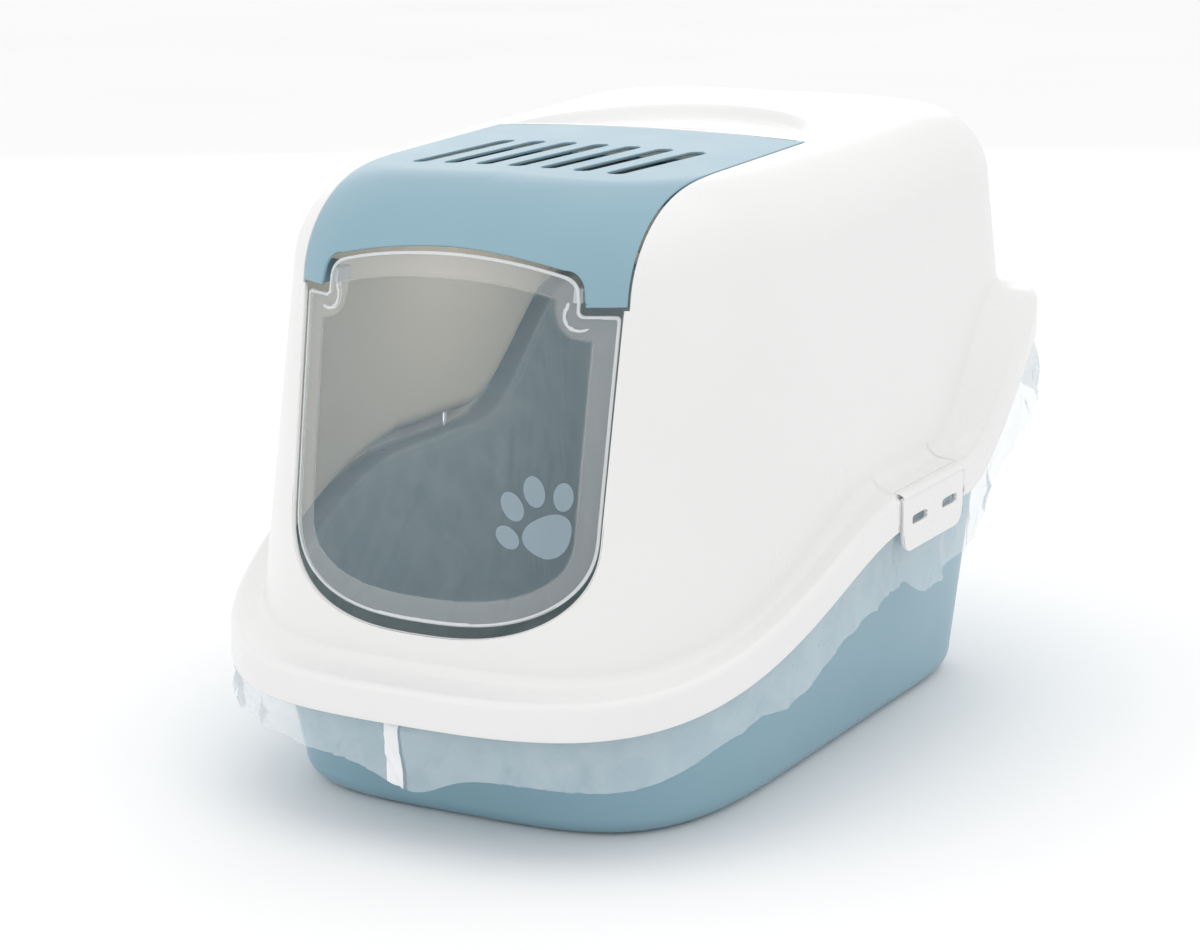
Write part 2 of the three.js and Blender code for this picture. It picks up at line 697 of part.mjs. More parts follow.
function makeFilterPad() {
  const { half, front, rear, top, deep, rib } = FILTER;
  const gap = rib + TOUCH_GAP;
  return filterPlate(rectangle(half - gap, front + gap, rear - gap, false), top - deep + 3, top - 0.5);
}

function makeFilterGrille() {
  const { half, front, rear, top, deep } = FILTER;
  const upper = top - deep - TOUCH_GAP;
  const bars = 6;
  const rim = 6;
  const bay = (2 * half - 2 * rim + BAR) / bars;
  let grille = solidOf(filterPlate(rectangle(half, front, rear, false), upper - 2, upper));
  for (let i = 0; i < bars; i += 1) {
    const left = -half + rim + bay * i;
    const gap = block(left, left + bay - BAR, front + rim, rear - rim, upper - 20, upper + 20);
    grille = grille.subtract(solidOf(gap));
  }
  return geometryOf(grille);
}

// ---- Latches ----

function latchShape() {
  const { front, rear, top, bottom, corner } = LATCH;
  const shape = new THREE.Shape();
  shape.moveTo(front, top);
  shape.lineTo(front, bottom + corner);
  shape.absarc(front + corner, bottom + corner, corner, Math.PI, 1.5 * Math.PI, false);
  shape.absarc(rear - corner, bottom + corner, corner, 1.5 * Math.PI, 2 * Math.PI, false);
  shape.lineTo(rear, top);
  shape.closePath();
  return shape;
}

function sideRange(side, near, far) {
  return [side * near, side * far].sort((a, b) => a - b);
}

function makeLatch(side) {
  const range = sideRange(side, WIDTH / 2 - WALL, WIDTH / 2);
  let latch = solidOf(prismAlongX(latchShape(), ...range, 6));
  for (const centre of WINDOW.centres) {
    const half = WINDOW.length / 2;
    const low = WINDOW.z - WINDOW.height / 2;
    const through = [range[0] - 1, range[1] + 1];
    const window = block(...through, centre - half, centre + half, low, low + WINDOW.height);
    latch = latch.subtract(solidOf(window));
  }
  return geometryOf(latch);
}

// Ramped tooth on the latch's inner face, under its window: it snaps below the tray's rim.
function makeLatchHook(side, centre) {
  const root = WIDTH / 2 - WALL - TOUCH_GAP;
  const tip = root - HOOK_REACH;
  const half = WINDOW.length / 2 - 1;
  const top = WINDOW.z - WINDOW.height / 2 - 0.6;
  const shape = new THREE.Shape();
  shape.moveTo(side * root, top);
  shape.lineTo(side * root, top - 9);
  shape.lineTo(side * tip, top - 2.5);
  shape.lineTo(side * tip, top);
  shape.closePath();
  return prismAlongY(shape, centre - half, centre + half);
}

// Rib under the tray's rim that stiffens it where a latch tooth snaps.
function makeTrayCatch(side, centre) {
  const half = WINDOW.length / 2;
  const top = skirtLevel(centre) + RIM_ABOVE_SKIRT - WALL - 2 * TOUCH_GAP;
  return block(...sideRange(side, RIM_ROOT.half + 1.5, RIM_EDGE.half - WALL - TOUCH_GAP),
    centre - half, centre + half, top - 7, top);
}

// ---- Assembly ----

const SIDES = [
  { side: -1, label: "left" },
  { side: 1, label: "right" },
];

place("litter_tray", "blue", makeTray());
place("liner_film", "film", makeLiner());
place("hood_shell", "white", makeHood());
place("carry_recess", "white", makeRecess());
place("visor_panel", "blue", makeVisor());
place("door_flap", "clear", makeDoor());

const pawLayer = bodyShell(DOOR_INSET - 0.75, DOOR_INSET - TOUCH_GAP, 106, 8);
PAW_MARKS.forEach((mark) => place(mark.name, "frost", makePawMark(pawLayer, mark)));

place("filter_frame", "blue", makeFilterFrame());
place("filter_grille", "blue", makeFilterGrille());
place("filter_pad", "carbon", makeFilterPad());

for (const { side, label } of SIDES) {
  place(`visor_hook_${label}`, "blue", makeVisorHook(...sideRange(side, 16, 52)));
  place(`door_pin_${label}`, "clear", makeDoorPin(side));
  place(`door_socket_${label}`, "blue", makeDoorSocket(side));
  place(`latch_${label}`, "white", makeLatch(side));
  WINDOW.centres.forEach((centre, i) => {
    const where = i === 0 ? "front" : "rear";
    place(`latch_${label}_tooth_${where}`, "white", makeLatchHook(side, centre));
    place(`tray_catch_${label}_${where}`, "blue", makeTrayCatch(side, centre));
  });
}

export default box;
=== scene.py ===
"""A cat litter box with a hood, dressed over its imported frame.

Lengths inside the classes are millimetres, in the frame's own axes: the front faces -Y, +X is to the
right and the tray stands on z = 0. Meshes are written in metres.
"""
import logging
import math
from dataclasses import dataclass, field, replace
from enum import Enum

import bpy
import numpy as np
from mathutils import Matrix


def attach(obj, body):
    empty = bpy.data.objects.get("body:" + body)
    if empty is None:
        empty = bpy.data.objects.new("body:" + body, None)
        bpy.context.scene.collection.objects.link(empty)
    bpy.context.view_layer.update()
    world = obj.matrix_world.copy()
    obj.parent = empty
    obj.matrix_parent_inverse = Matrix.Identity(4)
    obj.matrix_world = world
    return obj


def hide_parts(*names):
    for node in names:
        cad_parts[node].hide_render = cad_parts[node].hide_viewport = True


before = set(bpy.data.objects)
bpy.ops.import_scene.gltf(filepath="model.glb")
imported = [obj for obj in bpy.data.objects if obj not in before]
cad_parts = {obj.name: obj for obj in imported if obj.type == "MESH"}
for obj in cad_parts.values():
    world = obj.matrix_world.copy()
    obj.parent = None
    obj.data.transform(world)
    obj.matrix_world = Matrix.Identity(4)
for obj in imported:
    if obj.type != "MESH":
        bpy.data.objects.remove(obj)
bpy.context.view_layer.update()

MM = 0.001
LOG = logging.getLogger("litter_box")
Real = float | np.ndarray
Colour = tuple[float, float, float]


# ---- Arithmetic ----


def smooth_step(low: Real, high: Real, value: Real) -> np.ndarray:
    """Eases from 0 at low to 1 at high by three times the square less twice the cube.

    Args:
        low: Value where the step starts.
        high: Value where the step ends.
        value: Values to ease.

    Returns:
        The eased values, from 0 to 1.
    """
    part = np.clip((value - low) / (high - low), 0.0, 1.0)
    return part * part * (3 - 2 * part)


def signed_power(value: Real, exponent: Real) -> np.ndarray:
    """Raises the size of a value to an exponent and keeps its sign."""
    return np.sign(value) * np.abs(value) ** exponent


def quarter_turn(part: np.ndarray, exponent: float) -> np.ndarray:
    """Turn of a superellipse quarter at an even part of its length.

    The turn is a right angle times p to half the exponent, over that and its complement's same power.

    Args:
        part: Parts of the quarter, 0 on its flat side and 1 at its middle.
        exponent: Power of the superellipse.

    Returns:
        The turns, in radians.
    """
    ahead = part ** (exponent / 2)
    behind = (1 - part) ** (exponent / 2)
    return (math.pi / 2) * ahead / (ahead + behind)


def spread(*stops: tuple[float, int]) -> np.ndarray:
    """Runs of even steps that meet: each stop is where a run ends and how many steps it takes.

    Args:
        stops: Pairs of an end value and a number of steps; the first pair's count is not used.

    Returns:
        All values in order, without repeats.
    """
    runs = [np.array([stops[0][0]])]
    for (start, _), (end, count) in zip(stops[:-1], stops[1:]):
        runs.append(np.linspace(start, end, count + 1)[1:])
    return np.concatenate(runs)


def path_length(points: np.ndarray) -> np.ndarray:
    """Length along a path of points up to each of them."""
    steps = np.linalg.norm(np.diff(points, axis=0), axis=1)
    return np.concatenate([[0.0], np.cumsum(steps)])


def unit(vectors: np.ndarray) -> np.ndarray:
    """Vectors along the last axis, scaled to length one."""
    return vectors / np.maximum(np.linalg.norm(vectors, axis=-1, keepdims=True), 1e-12)


# ---- Surfaces ----


@dataclass
class Surface:
    """A mesh in the making: points in millimetres, four corners per face and a finish mark per face."""

    points: np.ndarray
    faces: np.ndarray
    marks: np.ndarray
    sheet_uv: np.ndarray | None = None

    @classmethod
    def of_grid(cls, grid: np.ndarray, closed: bool = False, marks: np.ndarray | None = None) -> "Surface":
        """Faces between neighbouring rows and columns of a grid of points.

        Args:
            grid: Points as rows by columns by three.
            closed: Whether the last column joins the first.
            marks: Finish mark of each point, of which a face takes the highest of its corners'.

        Returns:
            The surface.
        """
        rows, columns = grid.shape[:2]
        index = np.arange(rows * columns).reshape(rows, columns)
        if closed:
            index = np.concatenate([index, index[:, :1]], axis=1)
        corners = [index[:-1, :-1], index[:-1, 1:], index[1:, 1:], index[1:, :-1]]
        faces = np.stack(corners, axis=-1).reshape(-1, 4)
        if marks is None:
            face_marks = np.zeros(len(faces), int)
        else:
            face_marks = marks.reshape(-1)[faces].max(axis=1)
        return cls(grid.reshape(-1, 3), faces, face_marks)

    def joined(self, other: "Surface") -> "Surface":
        """Both surfaces as one, with their points still apart."""
        points = np.concatenate([self.points, other.points])
        faces = np.concatenate([self.faces, other.faces + len(self.points)])
        return Surface(points, faces, np.concatenate([self.marks, other.marks]))

    def welded(self) -> "Surface":
        """Points that fall together within two microns become one, and empty faces are dropped."""
        keys = np.round(self.points / 0.002).astype(np.int64)
        _, first, back = np.unique(keys, axis=0, return_index=True, return_inverse=True)
        faces = back.reshape(-1)[self.faces]
        ordered = np.sort(faces, axis=1)
        kinds = 1 + (np.diff(ordered, axis=1) > 0).sum(axis=1)
        keep = kinds > 2
        return Surface(self.points[first], faces[keep], self.marks[keep])

    def normals(self) -> np.ndarray:
        """Normal at each point: the sum of its faces' diagonal cross products, made length one."""
        a, b, c, d = (self.points[self.faces[:, k]] for k in range(4))
        across = np.cross(c - a, d - b)
        total = np.zeros_like(self.points)
        for k in range(4):
            np.add.at(total, self.faces[:, k], across)
        return unit(total)

    def turned_away_from(self, centre: tuple[float, float, float]) -> "Surface":
        """The same faces, wound so that most of them look away from a centre."""
        a, b, c, d = (self.points[self.faces[:, k]] for k in range(4))
        outwards = (np.cross(c - a, d - b) * ((a + c) / 2 - np.array(centre))).sum()
        if outwards < 0:
            self.faces = self.faces[:, ::-1]
        return self

    def turned_outwards(self) -> "Surface":
        """The faces of a closed shell, wound so that its volume is positive."""
        a, b, c, d = (self.points[self.faces[:, k]] for k in range(4))
        volume = (a * np.cross(b, c)).sum() + (a * np.cross(c, d)).sum()
        if volume < 0:
            self.faces = self.faces[:, ::-1]
        return self

    def thickened(self, thickness: float, edge_round: float, rim_mark: int | None = None) -> "Surface":
        """Gives an open sheet a wall below it and a rounded rim round every edge.

        An edge point at P, with normal N and direction T out of the sheet, becomes a row of points: it
        starts at P less r T, follows a quarter circle of radius r down to depth r, drops straight to the
        wall's depth less r and follows a second quarter circle to the inner face.

        Args:
            thickness: Wall thickness in millimetres.
            edge_round: Radius of the rim's two edges in millimetres.
            rim_mark: Finish mark for the rim's faces, or none to use the first mark.

        Returns:
            The closed shell.
        """
        normal = self.normals()
        count = len(self.points)
        edges = np.concatenate([self.faces[:, [k, (k + 1) % 4]] for k in range(4)])
        edges = edges[edges[:, 0] != edges[:, 1]]
        forward = edges[:, 0] * count + edges[:, 1]
        backward = edges[:, 1] * count + edges[:, 0]
        edges = edges[~np.isin(forward, backward)]
        heading = unit(self.points[edges[:, 1]] - self.points[edges[:, 0]])
        outward = np.zeros_like(self.points)
        for k in range(2):
            np.add.at(outward, edges[:, k], np.cross(heading, normal[edges[:, k]]))
        outward = unit(outward)
        rim = np.unique(edges)
        place = np.zeros(count, int)
        place[rim] = np.arange(len(rim))
        turns = np.radians([0, 30, 60, 90])
        aside = np.concatenate([np.sin(turns), np.sin(turns)[::-1]]) - 1
        rounding = edge_round * (1 - np.cos(turns))
        deep = np.concatenate([rounding, thickness - rounding[::-1]])
        rows = [
            self.points[rim] + outward[rim] * edge_round * aside[k] - normal[rim] * deep[k]
            for k in range(len(deep))
        ]
        top = self.points.copy()
        top[rim] = rows[0]
        under = self.points - normal * thickness
        under[rim] = rows[-1]
        middle = np.concatenate(rows[1:-1])
        shift = 2 * count
        ids = [rim, *(shift + k * len(rim) + np.arange(len(rim)) for k in range(len(rows) - 2)), rim + count]
        strips = []
        start, end = place[edges[:, 0]], place[edges[:, 1]]
        for upper, lower in zip(ids[:-1], ids[1:]):
            strips.append(np.stack([upper[end], upper[start], lower[start], lower[end]], axis=1))
        faces = np.concatenate([self.faces, self.faces[:, ::-1] + count, *strips])
        mark = 0 if rim_mark is None else rim_mark
        marks = np.concatenate([self.marks, self.marks, np.full(len(strips) * len(edges), mark)])
        return Surface(np.concatenate([top, under, middle]), faces, marks)

    def as_piece(self, name: str) -> bpy.types.Object:
        """Writes the surface into a new Blender object at the origin, in metres and shaded smooth.

        Args:
            name: Name of the object.

        Returns:
            The object.
        """
        same = self.faces == np.roll(self.faces, -1, axis=1)
        three = same.any(axis=1)
        keep = ~same
        corners = self.faces[keep]
        totals = np.where(three, 3, 4)
        mesh = bpy.data.meshes.new(name)
        mesh.vertices.add(len(self.points))
        mesh.vertices.foreach_set("co", (self.points * MM).astype(np.float32).ravel())
        mesh.loops.add(len(corners))
        mesh.loops.foreach_set("vertex_index", corners.astype(np.int32))
        mesh.polygons.add(len(totals))
        starts = np.concatenate([[0], np.cumsum(totals)[:-1]])
        mesh.polygons.foreach_set("loop_start", starts.astype(np.int32))
        mesh.polygons.foreach_set("material_index", self.marks.astype(np.int32))
        mesh.update(calc_edges=True)
        mesh.validate()
        mesh.polygons.foreach_set("use_smooth", np.ones(len(mesh.polygons), bool))
        if self.sheet_uv is not None:
            layer = mesh.uv_layers.new(name="sheet")
            layer.data.foreach_set("uv", self.sheet_uv[corners].astype(np.float32).ravel())
        piece = bpy.data.objects.new(name, mesh)
        bpy.context.scene.collection.objects.link(piece)
        return piece


def mirrored_ring(half: np.ndarray) -> np.ndarray:
    """Closes rows drawn on the right side, from the front's middle to the rear's, by their mirror image.

    Args:
        half: Points as rows by columns by three, with x = 0 in the first and last column.

    Returns:
        Rows of twice as many columns less two, to be joined end to start.
    """
    left = half[:, -2:0:-1] * np.array([-1.0, 1.0, 1.0])
    return np.concatenate([half, left], axis=1)


# ---- Forms shared by tray, film and hood ----


@dataclass(frozen=True)
class Plan:
    """A plan outline: two superellipse halves joined by straight sides."""

    half: Real
    front: Real
    rear: Real
    front_power: float
    rear_power: float
    front_centre: float = -30.0
    rear_centre: float = 120.0

    def inset(self, amount: Real) -> "Plan":
        """The outline moved inwards by an amount on every side."""
        return replace(self, half=self.half - amount, front=self.front + amount, rear=self.rear - amount)

    def at(self, turn: np.ndarray, slide: np.ndarray) -> np.ndarray:
        """Points of the outline.

        Across, it is the half width times the cosine to 2 over the power; along, the sine's, times
        the reach from the centre that slides between the two halves.

        Args:
            turn: Turns in radians, negative on the front half.
            slide: Place of the centre, 0 at the front one and 1 at the rear one.

        Returns:
            Points in x and y.
        """
        ahead = np.sin(turn) < 0
        exponent = 2 / np.where(ahead, self.front_power, self.rear_power)
        centre = self.front_centre + (self.rear_centre - self.front_centre) * slide
        reach = np.where(ahead, self.front_centre - self.front, self.rear - self.rear_centre)
        x = self.half * signed_power(np.cos(turn), exponent)
        return np.stack([x, centre + reach * signed_power(np.sin(turn), exponent)], axis=-1)

    def distance(self, x: np.ndarray, y: np.ndarray) -> np.ndarray:
        """Distance to the outline along the line to its centre line, negative inside."""
        ahead = y < self.front_centre
        reach = np.where(ahead, self.front_centre - self.front, self.rear - self.rear_centre)
        anchor = np.clip(y, self.front_centre, self.rear_centre)
        exponent = np.where(ahead, self.front_power, self.rear_power)
        across = np.abs(x / self.half) ** exponent
        along = np.abs((y - anchor) / reach) ** exponent
        ratio = np.maximum((across + along) ** (1 / exponent), 1e-9)
        return np.where(ratio < 1e-6, -self.half, np.hypot(x, y - anchor) * (1 - 1 / ratio))


FLANGE = Plan(193.8, -280, 280, 2.9, 4.5)
RIM_EDGE = Plan(187.2, -272.2, 272.2, 2.9, 4.5)
RIM_ROOT = Plan(170, -252, 257, 2.9, 4.5)
TRAY_FOOT = Plan(147, -224, 236, 4, 4)
RIM_ABOVE_SKIRT = 12.0
WALL = 2.6


def skirt_level(y: np.ndarray) -> np.ndarray:
    """Height of the hood's lower edge: low in front, level at the latches and high at the rear."""
    return 75 + 75 * smooth_step(-280, 2, y) + 86 * smooth_step(92, 242, y)


class Course:
    """Stations round the right half of the rim, from the front's middle to the rear's middle."""

    def __init__(self, shares: np.ndarray) -> None:
        """Places the stations at shares of the flange's length.

        Args:
            shares: Rising shares from 0 at the front's middle to 1 at the rear's middle.
        """
        turn, slide = self._fine()
        edge = FLANGE.at(turn, slide)
        along = path_length(edge)
        self.turn = np.interp(shares * along[-1], along, turn)
        self.slide = np.interp(shares * along[-1], along, slide)
        self.edge = FLANGE.at(self.turn, self.slide)
        self.level = skirt_level(self.edge[:, 1])

    @staticmethod
    def _fine() -> tuple[np.ndarray, np.ndarray]:
        """Turns and slides of a close even walk round the right half."""
        part = np.linspace(0, 1, 500)
        front = -quarter_turn(1 - part, FLANGE.front_power)
        rear = quarter_turn(part, FLANGE.rear_power)
        side = np.linspace(0, 1, 160)[1:-1]
        turn = np.concatenate([front, np.zeros_like(side), rear])
        slide = np.concatenate([np.zeros_like(front), side, np.ones_like(rear)])
        return turn, slide

    @classmethod
    def share_where_y(cls, y: float) -> float:
        """Share of the way round at which the flange's edge passes a place along Y."""
        edge = FLANGE.at(*cls._fine())
        along = path_length(edge)
        return float(np.interp(y, edge[:, 1], along) / along[-1])

    def ring(self, first: Plan, second: Plan, blend: Real, height: Real) -> np.ndarray:
        """Points at one blend between two plans, at given heights.

        Args:
            first: Plan at blend 0.
            second: Plan at blend 1.
            blend: Share between the plans.
            height: Height of every station.

        Returns:
            Points as stations by three.
        """
        a = first.at(self.turn, self.slide)
        b = second.at(self.turn, self.slide)
        flat = a + (b - a) * np.asarray(blend)[..., None]
        return np.concatenate([flat, np.broadcast_to(height, flat.shape[:1])[:, None]], axis=1)


class HoodForm:
    """The hood's outer form: leaning walls and a crowned roof, blended by a varying radius."""

    shoulder = 296.0
    climb_per_radian = 100.0

    def plan(self, z: np.ndarray) -> Plan:
        """The body's outline at a height; the sides lean 4.6, the front 9 and the rear 6.5 degrees."""
        return Plan(
            176 - math.tan(math.radians(4.6)) * (z - 150),
            -256 + math.tan(math.radians(9)) * (z - 106),
            262 - math.tan(math.radians(6.5)) * (z - 250),
            2.9,
            5,
        )

    @staticmethod
    def roof(x: np.ndarray, y: np.ndarray) -> np.ndarray:
        """Height of the roof, which rises 1.7 degrees to the rear and falls 3 mm to each visor edge."""
        return 380 + math.tan(math.radians(1.7)) * y - 3 * (x / 110) ** 2

    def field(self, p: np.ndarray) -> np.ndarray:
        """Field that is zero on the surface and negative inside.

        With w and h the distances past wall and roof and r the edge radius, it is the larger of the
        two held below -r, plus the length of the parts by which they pass -r.
        """
        x, y, z = p[..., 0], p[..., 1], p[..., 2]
        wall = self.plan(z).distance(x, y)
        over = z - self.roof(x, y)
        part = np.arctan2(np.abs(x) / 150, -y / 220) / math.pi
        r = np.where(part < 0.5, 66 - 52 * part, 40 + 4 * (part - 0.5))
        held = np.minimum(np.maximum(wall, over), -r)
        return held + np.hypot(np.maximum(wall + r, 0), np.maximum(over + r, 0))

    def meet(self, origin: np.ndarray, step: np.ndarray, depth: Real = 0.0, far: float = 460) -> np.ndarray:
        """Points where rays from inside meet the surface sunk by a depth, found by halving.

        Args:
            origin: Starts of the rays.
            step: Directions of the rays.
            depth: Depth below the outer surface.
            far: Length of the rays.

        Returns:
            The points.
        """
        shape = np.broadcast_shapes(origin.shape, step.shape)[:-1]
        near, end = np.zeros(shape), np.full(shape, float(far))
        for _ in range(32):
            middle = (near + end) / 2
            outside = self.field(origin + step * middle[..., None]) + depth > 0
            end = np.where(outside, middle, end)
            near = np.where(outside, near, middle)
        return origin + step * near[..., None]

    def around(self, heading: np.ndarray, climb: np.ndarray, depth: Real = 0.0) -> np.ndarray:
        """Points by heading and climb.

        Up to the shoulder the climb is the height of a level ray from the upright axis. Above it, the
        ray starts at the shoulder's height and tilts up by a radian for every 100 mm of climb.

        Args:
            heading: Headings in radians.
            climb: Climbs in millimetres.
            depth: Depth below the outer surface.

        Returns:
            The points.
        """
        tilt = np.maximum(climb - self.shoulder, 0) / self.climb_per_radian
        zero = np.zeros_like(heading)
        origin = np.stack([zero, zero, np.minimum(climb, self.shoulder)], axis=-1)
        flat = np.cos(tilt)
        step = np.stack([np.cos(heading) * flat, np.sin(heading) * flat, np.sin(tilt)], axis=-1)
        return self.meet(origin, step, depth)

    def heading_and_climb(self, p: np.ndarray) -> tuple[np.ndarray, np.ndarray]:
        """The heading and climb of points on the surface."""
        x, y, z = p[..., 0], p[..., 1], p[..., 2]
        tilt = np.arctan2(np.maximum(z - self.shoulder, 0), np.hypot(x, y))
        return np.arctan2(y, x), np.minimum(z, self.shoulder) + self.climb_per_radian * tilt

    def front(self, x: np.ndarray, z: np.ndarray, depth: Real = 0.0) -> np.ndarray:
        """Points of the front face at places across and up."""
        x, z = np.broadcast_arrays(x, z)
        origin = np.stack([x, np.full(x.shape, -30.0), z], axis=-1)
        return self.meet(origin, np.array([0.0, -1.0, 0.0]), depth, 300)

    def top(self, x: np.ndarray, y: np.ndarray, depth: Real = 0.0) -> np.ndarray:
        """Points of the roof at places across and along."""
        x, y = np.broadcast_arrays(x, y)
        origin = np.stack([x, y, np.full(x.shape, 200.0)], axis=-1)
        return self.meet(origin, np.array([0.0, 0.0, 1.0]), depth, 240)


# ---- Finishes ----


class Nodes:
    """Short ways to place shader nodes in a material."""

    def __init__(self, name: str) -> None:
        """Starts a material with one Principled shader and object coordinates."""
        self.material = bpy.data.materials.new(name)
        self.material.use_nodes = True
        self.tree = self.material.node_tree
        self.shader = self.tree.nodes["Principled BSDF"]
        self.coordinates = self.tree.nodes.new("ShaderNodeTexCoord")

    def link(self, source: bpy.types.NodeSocket, target: bpy.types.NodeSocket) -> None:
        """Joins two sockets."""
        self.tree.links.new(source, target)

    def noise(self, scale: float, detail: float, source: str = "Object") -> bpy.types.NodeSocket:
        """Noise on a coordinate.

        Args:
            scale: Waves per metre.
            detail: Octaves.
            source: Output of the coordinate node.

        Returns:
            The noise value.
        """
        node = self.tree.nodes.new("ShaderNodeTexNoise")
        node.inputs["Scale"].default_value = scale
        node.inputs["Detail"].default_value = detail
        self.link(self.coordinates.outputs[source], node.inputs["Vector"])
        return node.outputs["Fac"]

    def cells(self, scale: float, source: str = "Object") -> bpy.types.NodeSocket:
        """Distance to scattered cell centres, on coordinates bent by noise: creased facets.

        Args:
            scale: Cells per metre.
            source: Output of the coordinate node.

        Returns:
            The distance.
        """
        bend = self.tree.nodes.new("ShaderNodeTexNoise")
        bend.inputs["Scale"].default_value = scale * 0.6
        self.link(self.coordinates.outputs[source], bend.inputs["Vector"])
        mix = self.tree.nodes.new("ShaderNodeVectorMath")
        mix.operation = "MULTIPLY_ADD"
        mix.inputs[1].default_value = (0.03, 0.03, 0.03)
        self.link(bend.outputs["Color"], mix.inputs[0])
        self.link(self.coordinates.outputs[source], mix.inputs[2])
        cell = self.tree.nodes.new("ShaderNodeTexVoronoi")
        cell.inputs["Scale"].default_value = scale
        self.link(mix.outputs["Vector"], cell.inputs["Vector"])
        return cell.outputs["Distance"]

    def ramp(self, value: bpy.types.NodeSocket, stops: list[tuple[float, Colour]]) -> bpy.types.NodeSocket:
        """Colours along a value.

        Args:
            value: Driving value.
            stops: Places and colours, two or more.

        Returns:
            The colour.
        """
        node = self.tree.nodes.new("ShaderNodeValToRGB")
        while len(node.color_ramp.elements) < len(stops):
            node.color_ramp.elements.new(0.5)
        for element, (place, colour) in zip(node.color_ramp.elements, stops):
            element.position = place
            element.color = (*colour, 1.0)
        self.link(value, node.inputs["Fac"])
        return node.outputs["Color"]

    def spread_to(self, value: bpy.types.NodeSocket, low: float, high: float) -> bpy.types.NodeSocket:
        """Maps the middle half of a noise to a range."""
        node = self.tree.nodes.new("ShaderNodeMapRange")
        node.inputs["From Min"].default_value = 0.25
        node.inputs["From Max"].default_value = 0.75
        node.inputs["To Min"].default_value = low
        node.inputs["To Max"].default_value = high
        self.link(value, node.inputs["Value"])
        return node.outputs["Result"]

    def bump(self, height: bpy.types.NodeSocket, distance: float, strength: float) -> None:
        """Raises the surface by a height in metres, before any bump that is already there."""
        node = self.tree.nodes.new("ShaderNodeBump")
        node.inputs["Distance"].default_value = distance
        node.inputs["Strength"].default_value = strength
        self.link(height, node.inputs["Height"])
        earlier = self.shader.inputs["Normal"]
        if earlier.is_linked:
            self.link(earlier.links[0].from_socket, node.inputs["Normal"])
        self.link(node.outputs["Normal"], earlier)


@dataclass(frozen=True)
class MouldedPlastic:
    """Opaque moulded plastic: a soft drift of tone, a fine moulding grain and uneven gloss."""

    name: str
    tones: tuple[Colour, Colour]
    roughness: tuple[float, float]
    grain: float = 900.0
    grain_height: float = 0.00004
    specular: float = 0.5

    def material(self) -> bpy.types.Material:
        """Builds the material: wide noise tones the colour, finer noise varies gloss and height."""
        nodes = Nodes(self.name)
        drift = nodes.noise(7.0, 2.0)
        nodes.link(nodes.ramp(drift, [(0.3, self.tones[0]), (0.7, self.tones[1])]),
                   nodes.shader.inputs["Base Color"])
        nodes.link(nodes.spread_to(nodes.noise(18.0, 2.0), *self.roughness),
                   nodes.shader.inputs["Roughness"])
        nodes.shader.inputs["Specular IOR Level"].default_value = self.specular
        nodes.bump(nodes.noise(9.0, 0.0), 0.0005, 0.12)
        nodes.bump(nodes.noise(self.grain, 2.0), self.grain_height, 0.4)
        return nodes.material


@dataclass(frozen=True)
class ClearPlastic:
    """See-through moulded plastic whose clouding sets how much of what lies behind it shows."""

    name: str
    tones: tuple[Colour, Colour]
    clouding: float
    roughness: tuple[float, float]

    def material(self) -> bpy.types.Material:
        """Builds the material: even clouding, tone and gloss from noise, and soft flow marks."""
        nodes = Nodes(self.name)
        nodes.link(nodes.ramp(nodes.noise(9.0, 2.0), [(0.3, self.tones[0]), (0.7, self.tones[1])]),
                   nodes.shader.inputs["Base Color"])
        nodes.link(nodes.spread_to(nodes.noise(40.0, 3.0), *self.roughness),
                   nodes.shader.inputs["Roughness"])
        nodes.shader.inputs["Alpha"].default_value = self.clouding
        nodes.shader.inputs["Specular IOR Level"].default_value = 0.8
        nodes.bump(nodes.noise(14.0, 1.0), 0.0005, 0.2)
        return nodes.material


@dataclass(frozen=True)
class ThinFilm:
    """Milky plastic film, creased finely all over."""

    name: str
    tones: tuple[Colour, Colour]
    clouding: float
    roughness: tuple[float, float]

    def material(self) -> bpy.types.Material:
        """Builds the material: creases follow the film's own lay, as noise on its sheet coordinates."""
        nodes = Nodes(self.name)
        creases = nodes.cells(38.0, "UV")
        nodes.link(nodes.ramp(creases, [(0.35, self.tones[0]), (0.65, self.tones[1])]),
                   nodes.shader.inputs["Base Color"])
        nodes.link(nodes.spread_to(nodes.noise(150.0, 4.0, "UV"), *self.roughness),
                   nodes.shader.inputs["Roughness"])
        nodes.shader.inputs["Alpha"].default_value = self.clouding
        nodes.bump(creases, 0.003, 0.7)
        nodes.bump(nodes.noise(160.0, 2.0, "UV"), 0.0003, 0.4)
        return nodes.material


@dataclass(frozen=True)
class OpenFoam:
    """Dark open foam: rounded cells with matt walls."""

    name: str
    tones: tuple[Colour, Colour]
    cells: float

    def material(self) -> bpy.types.Material:
        """Builds the material: distance to cell centres sets both height and a painted shade, darker in each
        cell's hollow.
        """
        nodes = Nodes(self.name)
        cell = nodes.tree.nodes.new("ShaderNodeTexVoronoi")
        cell.inputs["Scale"].default_value = self.cells
        nodes.link(nodes.coordinates.outputs["Object"], cell.inputs["Vector"])
        # Painted shade: each cell's hollow is darker than its raised walls.
        nodes.link(nodes.ramp(cell.outputs["Distance"], [(0.1, self.tones[0]), (0.7, self.tones[1])]),
                   nodes.shader.inputs["Base Color"])
        nodes.link(nodes.spread_to(nodes.noise(300.0, 2.0), 0.85, 0.98), nodes.shader.inputs["Roughness"])
        nodes.bump(cell.outputs["Distance"], 0.0008, 0.9)
        return nodes.material


